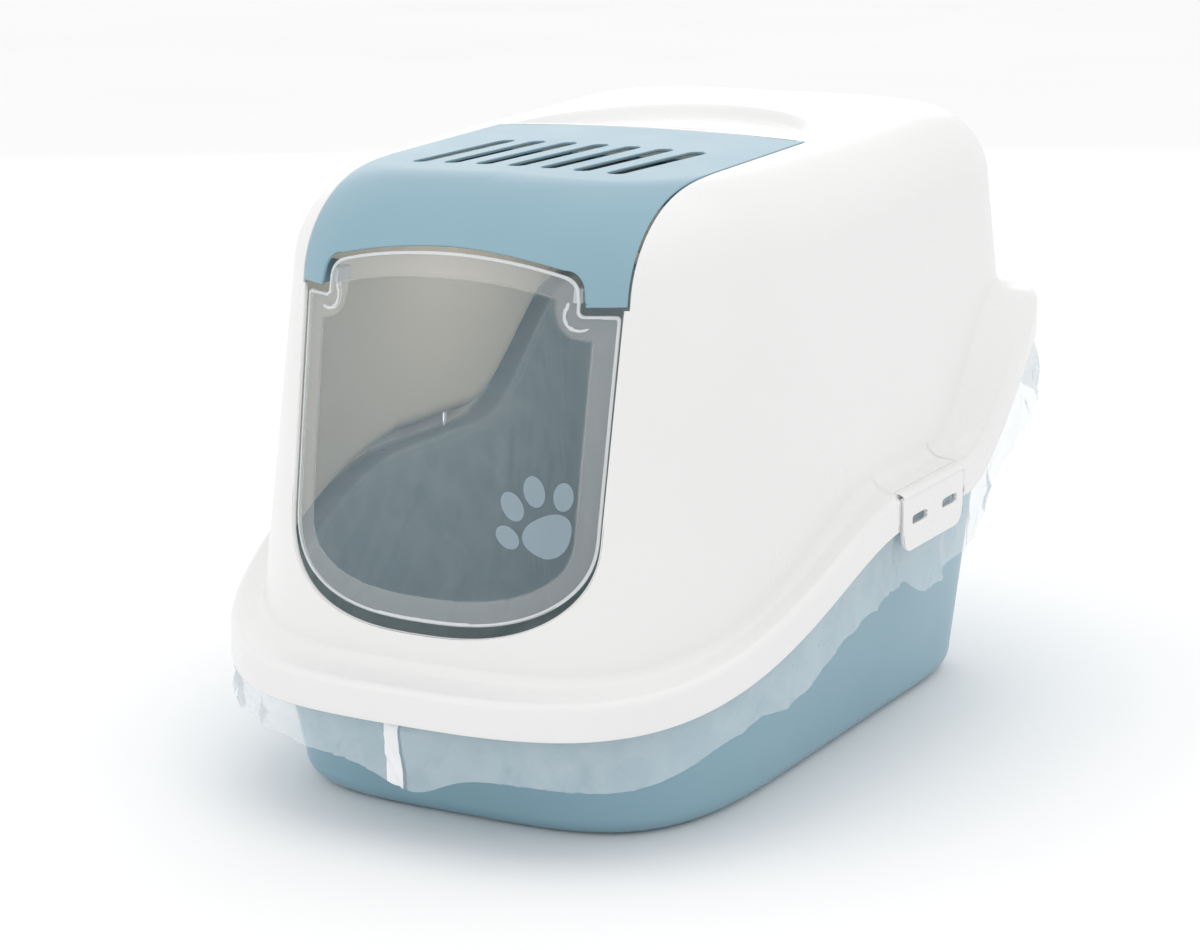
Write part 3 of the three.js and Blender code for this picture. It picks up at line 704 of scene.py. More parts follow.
class Finish(Enum):
    """The finishes of this box."""

    WHITE = MouldedPlastic("white_gloss", ((0.79, 0.79, 0.785), (0.81, 0.81, 0.805)), (0.24, 0.28))
    # The hood's inner face: the white plastic made lighter and warmer, a painted warm light inside the hood.
    WHITE_INNER_PAINTED_WARM_LIGHT = MouldedPlastic("white_inner_painted_warm_light", ((0.90, 0.865, 0.80), (0.92, 0.885, 0.82)), (0.45, 0.6))
    BLUE = MouldedPlastic("blue_satin", ((0.235, 0.385, 0.465), (0.255, 0.41, 0.49)), (0.32, 0.38))
    DOOR_RIM = ClearPlastic("door_rim_clear", ((0.80, 0.84, 0.86), (0.86, 0.89, 0.90)), 0.62, (0.1, 0.18))
    DOOR_BAND = ClearPlastic("door_band_clear", ((0.66, 0.70, 0.73), (0.70, 0.74, 0.77)), 0.17, (0.08, 0.14))
    DOOR_WINDOW = ClearPlastic(
        "door_window_clear", ((0.30, 0.42, 0.52), (0.34, 0.46, 0.56)), 0.10, (0.04, 0.08)
    )
    PRINT = ClearPlastic("frosted_print_mark", ((0.42, 0.54, 0.63), (0.46, 0.58, 0.67)), 0.45, (0.6, 0.75))
    FILM = ThinFilm("milky_film", ((0.70, 0.77, 0.81), (0.78, 0.83, 0.86)), 0.38, (0.26, 0.34))
    FILM_SEAM = ThinFilm("film_side_seam", ((0.88, 0.89, 0.90), (0.93, 0.94, 0.95)), 0.92, (0.3, 0.4))
    FOAM = OpenFoam("carbon_foam_cells", ((0.012, 0.016, 0.018), (0.04, 0.05, 0.055)), 420.0)

    def built(self) -> bpy.types.Material:
        """The finish as a material, built once."""
        return bpy.data.materials.get(self.value.name) or self.value.material()


def dress(piece: bpy.types.Object, *finishes: Finish) -> None:
    """Gives a piece its finishes, one per mark, in order."""
    if len(piece.data.materials):
        piece.data.materials.clear()
    for finish in finishes:
        piece.data.materials.append(finish.built())


def settle(piece: bpy.types.Object, body: str, slot: str, *nodes: str) -> bpy.types.Object:
    """Places a finished piece in the frame and reports it.

    Args:
        piece: The piece.
        body: Body that it rides on.
        slot: Name of a material slot; not used.
        nodes: CAD nodes that it stands for.

    Returns:
        The piece.
    """
    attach(piece, body)
    if nodes:
        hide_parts(*nodes)
    LOG.info("%s: %d faces on %s", piece.name, len(piece.data.polygons), body)
    return piece


# ---- Sub-assemblies ----


@dataclass
class Tray:
    """The litter tray: a rounded foot, leaning walls and a rim that rises to the rear."""

    columns: int = 200
    foot_round: float = 16.0
    rim_lip: float = 7.0

    def shell(self) -> Surface:
        """The tray's closed shell: a profile of rows, from the middle of the floor's underside, up the
        outer wall, over the rim, down the inner wall and back to the middle of the floor."""
        course = Course(np.linspace(0, 1, self.columns))
        top = course.level + RIM_ABOVE_SKIRT
        turns = np.linspace(0, math.pi / 2, 9)
        rows = [course.ring(TRAY_FOOT, TRAY_FOOT, 0, 0.0) * np.array([s, s, 0]) for s in (0.0, 0.35, 0.7)]
        for turn in turns:
            away = self.foot_round * (1 - np.sin(turn))
            climb = self.foot_round * (1 - np.cos(turn))
            rows.append(course.ring(TRAY_FOOT.inset(away), TRAY_FOOT, 0, climb))
        for blend in np.linspace(0, 1, 14)[1:]:
            height = self.foot_round + (top - WALL - self.foot_round) * blend
            rows.append(course.ring(TRAY_FOOT, RIM_ROOT, blend, height))
        rows.append(course.ring(RIM_EDGE.inset(WALL), RIM_EDGE, 0, top - WALL))
        rows.append(course.ring(RIM_EDGE.inset(WALL), RIM_EDGE, 0, top - self.rim_lip))
        rows.append(course.ring(RIM_EDGE.inset(0.4), RIM_EDGE, 0, top - self.rim_lip))
        rows.append(course.ring(RIM_EDGE, RIM_EDGE, 0, top - self.rim_lip + 0.4))
        for turn in turns[::2]:
            away = 1.8 * (1 - np.cos(turn))
            rows.append(course.ring(RIM_EDGE.inset(away), RIM_EDGE, 0, top - 1.8 + 1.8 * np.sin(turn)))
        for turn in turns[::2]:
            plan = RIM_ROOT.inset(WALL - 2.4 * (1 - np.sin(turn)))
            rows.append(course.ring(plan, plan, 0, top - 2.4 * (1 - np.cos(turn))))
        inner_foot, inner_root = TRAY_FOOT.inset(WALL), RIM_ROOT.inset(WALL)
        for blend in np.linspace(1, 0, 14)[1:]:
            height = self.foot_round + (top - WALL - self.foot_round) * blend
            rows.append(course.ring(inner_foot, inner_root, blend, height))
        for turn in turns[1:]:
            away = (self.foot_round - WALL) * (1 - np.cos(turn))
            height = self.foot_round - (self.foot_round - WALL) * np.sin(turn)
            rows.append(course.ring(inner_foot.inset(away), inner_foot, 0, height))
        for share in (0.7, 0.35, 0.0):
            rows.append(course.ring(inner_foot, inner_foot, 0, WALL) * np.array([share, share, 1]))
        return Surface.of_grid(mirrored_ring(np.stack(rows)), closed=True).welded().turned_outwards()

    def build(self) -> None:
        """Builds and dresses the tray."""
        piece = self.shell().as_piece("tray_shell")
        dress(piece, Finish.BLUE)
        settle(piece, "tray", "blue_plastic", "litter_tray")


@dataclass(frozen=True)
class Gather:
    """A place round the rim where the film's hem dips or lifts: heading and width in degrees."""

    heading: float
    width: float
    drop: float


@dataclass
class Film:
    """The liner: one bag of film over floor, walls and rim, with a loose creased hem outside."""

    columns: int = 470
    thickness: float = 0.9
    gathers: tuple[Gather, ...] = (
        Gather(-89, 5, 12), Gather(-62, 9, 9), Gather(-112, 9, -3), Gather(-46, 7, -4), Gather(-22, 16, 8),
        Gather(4, 3, -5), Gather(11, 6, 6), Gather(24, 4, -3), Gather(47, 8, 7), Gather(70, 9, -6),
        Gather(96, 10, 7), Gather(128, 7, -5), Gather(150, 10, 8), Gather(176, 7, -4), Gather(205, 9, 6),
    )
    seam_heading: float = -91.5

    def hang(self, heading: np.ndarray) -> np.ndarray:
        """How far the hem hangs below the skirt: 28 mm in front to 46 mm at the rear, plus the
        gathers, each a bell of its own width."""
        degrees = np.degrees(heading)
        total = 28 + 16 * smooth_step(-60, 30, np.abs(degrees + 90) - 90)
        total = total + 2 * np.sin(np.radians(7 * degrees))
        for gather in self.gathers:
            off = (degrees - gather.heading + 180) % 360 - 180
            total = total + gather.drop * np.exp(-((off / gather.width) ** 2))
        return total

    def creases(self, along: np.ndarray, down: np.ndarray, count: int, seed: int, width: float,
                lean: float) -> np.ndarray:
        """Sharp-backed folds: each is a tent along its own slanting line, which fades beyond its length.

        Args:
            along: Place round the rim in millimetres.
            down: Place down the film in millimetres.
            count: Number of folds.
            seed: Seed of their places.
            width: Typical half width of a fold.
            lean: How far a fold slants, in millimetres along per millimetre down.

        Returns:
            Heights from about -1 to 1.
        """
        random = np.random.default_rng(seed)
        length = along.max()
        total = np.zeros(np.broadcast_shapes(along.shape, down.shape))
        low, high = down.min(), down.max()
        for _ in range(count):
            centre, middle = random.uniform(0, length), random.uniform(low, high)
            slant, size = random.normal(0, lean), random.uniform(0.5, 1.6) * width
            reach, sign = random.uniform(0.35, 0.8) * (high - low), random.choice([-1.0, 1.0, 1.0])
            off = (along - centre - slant * (down - middle) + length / 2) % length - length / 2
            tent = np.maximum(1 - np.abs(off) / size, 0) ** 1.3
            total += sign * random.uniform(0.4, 1.0) * tent * np.exp(-(((down - middle) / reach) ** 2))
        return total

    def sheet(self) -> Surface:
        """The film as one sheet: rows from the middle of the floor to the hem, moved off their
        smooth lay by folds that stay clear of tray, skirt and latches."""
        course = Course(np.linspace(0, 1, self.columns))
        top = course.level + RIM_ABOVE_SKIRT + 1.6
        gap = self.thickness + 0.6
        foot, root, edge = TRAY_FOOT.inset(WALL + gap), RIM_ROOT.inset(WALL + gap), RIM_EDGE.inset(-gap)
        floor = WALL + gap
        rows, slack = [], []
        for share in spread((0.0, 0), (0.9, 12)):
            rows.append(course.ring(foot, foot, 0, floor) * np.array([share, share, 1]))
            slack.append(0.0)
        for turn in np.linspace(0.15, math.pi / 2, 6):
            away = 14 * (1 - np.sin(turn))
            rows.append(course.ring(foot.inset(away), foot, 0, floor + 14 * (1 - np.cos(turn))))
            slack.append(0.2)
        for blend in np.linspace(0.02, 1, 34):
            rows.append(course.ring(foot, root, blend, floor + 14 + (top - floor - 18) * blend))
            slack.append(min(1.0, 6 * (1.02 - blend)))
        for turn in np.linspace(0, math.pi / 2, 4):
            plan = root.inset(-4 * (1 - np.cos(turn)))
            rows.append(course.ring(plan, plan, 0, top - 4 + 4 * np.sin(turn)))
            slack.append(0.05)
        for turn in np.linspace(0, math.pi / 2, 5):
            plan = edge.inset(2 * (1 - np.sin(turn)))
            rows.append(course.ring(plan, plan, 0, top - 2 * (1 - np.cos(turn))))
            slack.append(0.05)
        inner_rows = len(rows)
        for share in spread((0.06, 0), (1.0, 30)):
            rows.append(course.ring(edge, edge, 0, course.level - 2))
            slack.append(share)
        ring = mirrored_ring(np.stack(rows))
        loop = np.concatenate([ring[inner_rows], ring[inner_rows][:1]])[:, :2]
        along = path_length(loop)[:-1]
        heading = np.arctan2(ring[inner_rows, :, 1], ring[inner_rows, :, 0])
        ring = self.with_hem(ring, inner_rows, np.array(slack), heading, along)
        ring = self.with_inner_folds(ring, inner_rows, np.array(slack), along)
        down = np.concatenate([np.zeros((1, ring.shape[1])),
                               np.cumsum(np.linalg.norm(np.diff(ring, axis=0), axis=2), axis=0)])
        surface = Surface.of_grid(ring, closed=True, marks=self.seam_marks(ring, inner_rows, heading))
        across = np.broadcast_to(along, down.shape)
        surface.sheet_uv = np.stack([across, down], axis=-1).reshape(-1, 2) * MM
        return surface.turned_away_from((0, 0, 60))

    def with_hem(self, ring: np.ndarray, start: int, slack: np.ndarray, heading: np.ndarray,
                 along: np.ndarray) -> np.ndarray:
        """Lets the rows outside the rim hang down to the hem and moves them out by folds.

        A point a share s down hangs from the rim's edge by s of the way to the hem. It moves out by a
        slow swell that grows with s and by creases, held inside the skirt and the latches.

        Args:
            ring: The film's rows.
            start: First row that hangs.
            slack: Share down of every row.
            heading: Heading of every column.
            along: Place round the rim of every column.

        Returns:
            The rows with their hem.
        """
        base = ring[start]
        level = base[:, 2] + 2
        top = level + RIM_ABOVE_SKIRT - 0.4
        hem = level - self.hang(heading)
        share = slack[start:, None]
        z = top + (hem - top) * share
        below = level - z
        slope = base[:, :2] / np.array([193.8**2, 280**2])
        direction = unit(np.concatenate([slope, 0 * base[:, :1]], axis=1))
        fold = self.creases(along[None, :], share * 44, 150, 11, 9.0, 0.55)
        fine = self.creases(along[None, :], share * 44, 260, 5, 3.6, 0.9)
        swell = 1.6 * np.sin(along / 31) + 1.2 * np.sin(along / 13.7 + 1.3)
        bulge = 5.0 * np.exp(-((np.degrees(heading) + 128) / 16) ** 2)
        bulge = bulge + 7.0 * np.exp(-((np.degrees(heading) - 52) / 7) ** 2)
        gather = np.exp(-((np.degrees(heading) + 89) / 3.2) ** 2)
        out = (4.2 * fold + 1.6 * fine + swell - 2.0) * smooth_step(0.1, 0.9, share)
        out = out + bulge * smooth_step(0.15, 0.6, share) + gather * 3.0 * np.sin(share * 5)
        latch = (np.abs(base[:, 1] - 35.5) < 50) & (np.abs(base[:, 0]) > 150)
        edge = np.where(latch, 134.6, level)
        limit = np.where(z > edge - 1.5, 1.2, 1.2 + 0.55 * (edge - 1.5 - z))
        out = np.clip(out, -8 * smooth_step(-8, 30, below), limit)
        hanging = base[None] + direction[None] * out[..., None]
        hanging[..., 2] = z + 0.8 * fold * smooth_step(0.5, 1.0, share)
        ring[start:] = hanging
        return ring

    def with_inner_folds(self, ring: np.ndarray, end: int, slack: np.ndarray,
                         along: np.ndarray) -> np.ndarray:
        """Moves the film off the tray's walls, only inwards, by broad folds and fine creases."""
        down = np.arange(end)[:, None] * 7.0
        fold = self.creases(along[None, :], down, 70, 23, 26.0, 0.8)
        fine = self.creases(along[None, :], down, 200, 31, 9.0, 1.1)
        away = np.abs(3.4 * fold + 1.2 * fine) * slack[:end, None]
        towards = unit(np.array([0.0, 0.0, 110.0]) - ring[:end] * np.array([1, 0.75, 0.6]))
        ring[:end] = ring[:end] + towards * np.minimum(away, 12)[..., None]
        floor = smooth_step(0, 1, 1 - slack[:end, None])
        ring[:end, :, 2] += np.abs(fine) * 1.2 * floor * (np.arange(end)[:, None] < 18)
        return ring

    def seam_marks(self, ring: np.ndarray, start: int, heading: np.ndarray) -> np.ndarray:
        """Marks the bag's folded side seam, a strip 9 mm wide down the front, with 1."""
        marks = np.zeros(ring.shape[:2], int)
        marks[start:] = np.abs(np.degrees(heading) - self.seam_heading)[None, :] < 0.95
        return marks

    def build(self) -> None:
        piece = self.sheet().as_piece("liner_bag")
        dress(piece, Finish.FILM, Finish.FILM_SEAM)
        settle(piece, "tray", "liner_film", "liner_film")


@dataclass
class Recess:
    """The carry recess in the roof: a shallow half-moon shelf and a deeper finger pocket."""

    radius: float = 104.0
    centre: float = 32.0
    bar: tuple[float, float] = (32.4, 36.2)
    shelf: float = 7.0
    pocket: float = 22.0
    pocket_half: float = 61.0
    pocket_reach: float = 44.0

    def drop(self, x: np.ndarray, y: np.ndarray) -> np.ndarray:
        """Depth below the roof.

        The shelf eases in over 9 mm from the half-moon's edge, the pocket over a fifth of its half
        ellipse, and both stop at the bar in front.

        Args:
            x: Places across.
            y: Places along.

        Returns:
            Depths in millimetres.
        """
        inside = self.radius - np.hypot(x, y - self.centre)
        shelf = self.shelf * smooth_step(0.4, 9.5, inside)
        ratio = np.hypot(x / self.pocket_half, (y - self.centre) / self.pocket_reach)
        pocket = self.pocket * smooth_step(0.0, 0.24, 1 - ratio)
        return (shelf + pocket) * smooth_step(*self.bar, y)

    def patch(self, arc: np.ndarray, front: float, form: HoodForm) -> Surface:
        """The recess as rows from the half-moon's arc to its straight front edge.

        Args:
            arc: Points of the arc from right to left.
            front: Place of the front edge along Y.
            form: The hood's form.

        Returns:
            The open patch.
        """
        columns = len(arc)
        chord = np.stack([arc[0, 0] * np.linspace(1, -1, columns), np.full(columns, front)], axis=-1)
        share = spread((0, 0), (0.14, 14), (0.82, 26), (1.0, 34))[:, None, None]
        flat = arc[None, :, :2] + (chord - arc[:, :2])[None] * share
        points = form.top(flat[..., 0], flat[..., 1])
        points[0] = arc
        drop = self.drop(points[..., 0], points[..., 1])
        points[1:, :, 2] -= drop[1:]
        return Surface.of_grid(points)


@dataclass
class Hood:
    """The hood: a skirt that follows the tray's rim, a ledge and a body open for door and visor."""

    form: HoodForm
    recess: Recess = field(default_factory=Recess)
    skirt: float = 17.0
    skirt_round: float = 5.5
    ledge: float = 9.0
    body_rows: int = 62
    opening_half: float = 104.5
    opening_bend: float = 185.0
    sill: float = 122.0
    visor_half: float = 110.0
    visor_rear: float = 28.0
    latch_gap: tuple[float, float, float] = (-12.5, 84.5, 170.35)

    def opening(self) -> tuple[np.ndarray, list[int]]:
        """Right half of the opening's edge, from the sill's middle to the middle of the recess's arc.

        Returns:
            Points on the surface, and the index where each stretch ends.
        """
        turn = np.linspace(math.pi / 2, 0, 46)
        x = self.opening_half * np.cos(turn) ** 0.8
        z = self.opening_bend - (self.opening_bend - self.sill) * np.sin(turn) ** 0.8
        bottom = self.form.front(x, z)
        up = np.linspace(self.opening_bend, 310, 40)[1:]
        side = self.form.front(self.opening_half + 3 * (up - 185) / 126, up)
        step = self.form.front(np.array([108.7, self.visor_half]), np.array([310.0, 310.0]))
        angle = np.radians(np.linspace(176, 90, 64))
        sweep = np.stack(
            [np.full(64, self.visor_half), -150 + 120 * np.cos(angle), 300 + 120 * np.sin(angle)], axis=-1
        )
        origin = np.array([self.visor_half, -150.0, 306.0])
        over = self.form.meet(origin, unit(sweep - origin) * np.array([0, 1, 1]), 0, 200)
        over = over[over[:, 2] > 311.5]
        back = np.linspace(-150, self.visor_rear, 62)[1:]
        roof = self.form.top(np.full(61, self.visor_half), back)
        start = math.asin((self.visor_rear - self.recess.centre) / self.recess.radius)
        corner = self.recess.radius * math.cos(start)
        inner = self.form.top(np.linspace(self.visor_half, corner, 5)[1:-1], np.full(3, self.visor_rear))
        swing = np.linspace(start, math.pi / 2, 74)
        radius, centre = self.recess.radius, self.recess.centre
        arc = self.form.top(radius * np.cos(swing), centre + radius * np.sin(swing))
        parts = [bottom, side, step, over, roof, inner, arc]
        ends = np.cumsum([len(part) for part in parts])
        hole = np.concatenate(parts)
        hole[[0, -1], 0] = 0
        return hole, [int(end) - 1 for end in ends]

    def shares(self, hole: np.ndarray, ends: list[int]) -> np.ndarray:
        """Shares of the way round the rim that the opening's points stand over."""
        along = path_length(hole)
        knots = [0.0, along[ends[0]], along[ends[1]], along[ends[4]], along[-1]]
        share = np.interp(along, knots, [0.0, 0.19, 0.33, 0.70, 1.0])
        for y in self.latch_gap[:2]:
            place = Course.share_where_y(y)
            k = int(np.argmin(np.abs(share - place)))
            share[k], share[k + 1] = place - 0.0006, place + 0.0006
            share[k - 1] = (share[k - 2] + share[k]) / 2
            share[k + 2] = (share[k + 1] + share[k + 3]) / 2
        return share

    def skirt_rows(self, course: Course) -> list[np.ndarray]:
        """The skirt: a straight wall, a quarter round and the ledge's hollow up to the body.

        Over a latch the skirt starts at the latch's top instead of at its lower edge.
        """
        low, high, cut = self.latch_gap
        inside = (course.edge[:, 1] > low) & (course.edge[:, 1] < high) & (course.edge[:, 0] > 150)
        rows = []
        turns = np.linspace(0, math.pi / 2, 9)
        heights = [0, 4, 8.5, 13, *(self.skirt + self.skirt_round * np.sin(turns))]
        for k, rise in enumerate(heights):
            height = course.level + rise
            height = np.where(inside, np.maximum(height, cut + 0.25 * k), height)
            over = np.clip((height - course.level - self.skirt) / self.skirt_round, 0, 1)
            away = self.skirt_round * (1 - np.sqrt(1 - over**2))
            rows.append(course.ring(FLANGE.inset(away), FLANGE, 0, height))
        edge = rows[-1]
        root = self.root(course)
        for blend in np.linspace(0, 1, 12)[1:]:
            point = edge + (root - edge) * blend
            point[:, 2] = edge[:, 2] + self.ledge * (0.42 * blend + 0.58 * blend**6)
            rows.append(point)
        return rows

    def root(self, course: Course) -> np.ndarray:
        """Where the ledge meets the body."""
        heading = np.arctan2(course.edge[:, 1], course.edge[:, 0])
        return self.form.around(heading, course.level + self.skirt + self.skirt_round + self.ledge)

    def shell(self) -> Surface:
        """The hood's wall: skirt rows, then rows that blend heading and climb up to the opening."""
        hole, ends = self.opening()
        course = Course(self.shares(hole, ends))
        rows = self.skirt_rows(course)
        heading, climb = self.form.heading_and_climb(rows[-1])
        last_heading, last_climb = self.form.heading_and_climb(hole)
        part = spread((0, 0), (0.5, self.body_rows // 2), (1, self.body_rows // 2))[1:-1, None]
        body = self.form.around(
            heading + (last_heading - heading) * part, climb + (last_climb - climb) * part
        )
        half = np.concatenate([np.stack(rows), body, hole[None]])
        half[:, [0, -1], 0] = 0
        outer = Surface.of_grid(mirrored_ring(half), closed=True).turned_away_from((0, 0, 150))
        arc = hole[ends[5] + 1:]
        arc = np.concatenate([arc, arc[-2::-1] * np.array([-1, 1, 1])])
        patch = self.recess.patch(arc, self.visor_rear, self.form).turned_away_from((0, 60, 0))
        sheet = outer.joined(patch).welded()
        shell = sheet.thickened(WALL, 0.7)
        # The inner faces take the second finish, a painted warm light.
        shell.marks[len(sheet.faces):2 * len(sheet.faces)] = 1
        return shell

    def build(self) -> None:
        """Builds and dresses the hood; its inner face gets a lighter, warmer copy of the white, a painted
        warm light.
        """
        piece = self.shell().as_piece("hood_body")
        dress(piece, Finish.WHITE, Finish.WHITE_INNER_PAINTED_WARM_LIGHT)
        settle(piece, "hood", "white_plastic", "hood_shell", "carry_recess")


@dataclass
class Visor:
    """The visor: a blue cover over roof and front with seven slanted slots and two ears."""

    form: HoodForm
    half: float = 108.8
    rear: float = 27.0
    knee: float = -150.0
    knee_height: float = 306.0
    ear_inner: float = 88.0
    ear_bottom: float = 312.0
    slots: int = 7
    pitch: float = 22.2
    slot_half: float = 5.1
    slot_ends: tuple[float, float] = (-131.0, -40.0)
    slant: float = 11.2

    def columns(self) -> tuple[np.ndarray, np.ndarray]:
        """Columns across: places on the right and left of every slot's middle line, and the sides.

        Returns:
            Place of each column, and -1, 0 or 1 for the side of a slot that it keeps to.
        """
        away = np.concatenate([[0.0], spread((0.5, 0), (self.pitch / 2, 8))])
        places, sides = [], []
        for k in range(self.slots):
            middle = (k - (self.slots - 1) / 2) * self.pitch
            places += [middle - away[::-1], middle + away]
            sides += [np.full(len(away), -1), np.full(len(away), 1)]
        reach = self.slots * self.pitch / 2
        outer = np.concatenate([spread((reach, 0), (self.ear_inner - 0.5, 9))[1:],
                                spread((self.ear_inner + 0.5, 0), (self.half, 13))])
        places = [-outer[::-1], *places, outer]
        sides = [np.zeros(len(outer), int), *sides, np.zeros(len(outer), int)]
        return np.concatenate(places), np.concatenate(sides)

    def slot_opening(self, y: np.ndarray) -> np.ndarray:
        """Half width of a slot along Y: the slot's half width less its round ends' sagitta."""
        r = self.slot_half
        past = np.maximum(self.slot_ends[0] + r - y, y - (self.slot_ends[1] - r))
        past = np.clip(past, 0, r)
        inside = (y > self.slot_ends[0]) & (y < self.slot_ends[1])
        return np.sqrt(np.maximum(r * r - past * past, 0)) * inside

    def lower_edge(self, x: np.ndarray) -> np.ndarray:
        """Height of the lower edge: the ears' bottoms, and between them a flat arch with round ends.

        The arch's middle is a parabola from 332 at 74 mm out to 340.5; past it a quarter ellipse
        falls to 318 at the ears.
        """
        a = np.abs(x)
        middle = 332 + 8.5 * (1 - (a / 74) ** 2)
        fall = np.clip((a - 74) / (self.ear_inner - 0.5 - 74), 0, 1)
        round_end = 318 + 14 * np.sqrt(np.maximum(1 - fall**2.2, 0))
        return np.where(a > self.ear_inner, self.ear_bottom, np.where(a < 74, middle, round_end))

    def sheet(self) -> Surface:
        """The visor's outer face: rows along Y over the roof, opened into slots like slits, then rows
        that turn about the knee line down to the lower edge."""
        x, side = self.columns()
        turn = np.linspace(0, math.pi / 2, 8)
        first, last = self.slot_ends
        r = self.slot_half
        rear = spread((self.rear, 0), (last, 22))
        y = np.concatenate([
            rear, last - r * (1 - np.cos(turn[1:])), spread((last - r, 0), (first + r, 20))[1:],
            first + r * np.cos(turn[1:]),
            spread((first, 0), (self.knee, 6))[1:],
        ])
        near = x[None, :] - np.round(x[None, :] / self.pitch) * self.pitch
        opening = self.slot_opening(y)[:, None]
        fade = 1 - np.abs(near) / (self.pitch / 2)
        pushed = np.where(side[None, :] == 0, 0, side[None, :] * opening * fade)
        lean = self.slant * np.clip((y - (first + last) / 2) / (last - first), -0.5, 0.5)
        lean = lean * (1 - smooth_step(last, self.rear - 8, y))
        lean = lean * (1 - smooth_step(0, 1, (first - y) / (first - self.knee)))
        keep = 1 - smooth_step(self.slots * self.pitch / 2 + 4, self.half, np.abs(x))
        across = x[None, :] + pushed + lean[:, None] * keep[None, :]
        roof = self.form.top(across, np.broadcast_to(y[:, None], across.shape))
        low = self.form.front(x, self.lower_edge(x))
        low[:, 0] = x
        end = np.arctan2(low[:, 2] - self.knee_height, -(low[:, 1] - self.knee))
        part = spread((0, 0), (0.9, 34), (1, 6))[1:, None]
        angle = math.pi / 2 + (end - math.pi / 2) * part
        origin = np.stack([np.broadcast_to(x, angle.shape), np.full(angle.shape, self.knee),
                           np.full(angle.shape, self.knee_height)], axis=-1)
        step = np.stack([np.zeros_like(angle), -np.cos(angle), np.sin(angle)], axis=-1)
        front = self.form.meet(origin, step, 0, 220)
        front[-1] = low
        grid = np.concatenate([roof, front])
        surface = Surface.of_grid(grid).turned_away_from((0, 0, 200))
        columns = len(x)
        left = np.flatnonzero((side[:-1] == -1) & (side[1:] == 1))
        column = np.arange(len(surface.faces)) % (columns - 1)
        surface.faces = surface.faces[~np.isin(column, left)]
        surface.marks = surface.marks[:len(surface.faces)]
        return surface.welded()

    def build(self) -> None:
        """Builds and dresses the visor."""
        piece = self.sheet().thickened(1.8, 0.4).as_piece("visor_cover")
        dress(piece, Finish.BLUE)
        settle(piece, "visor", "blue_plastic", "visor_panel")


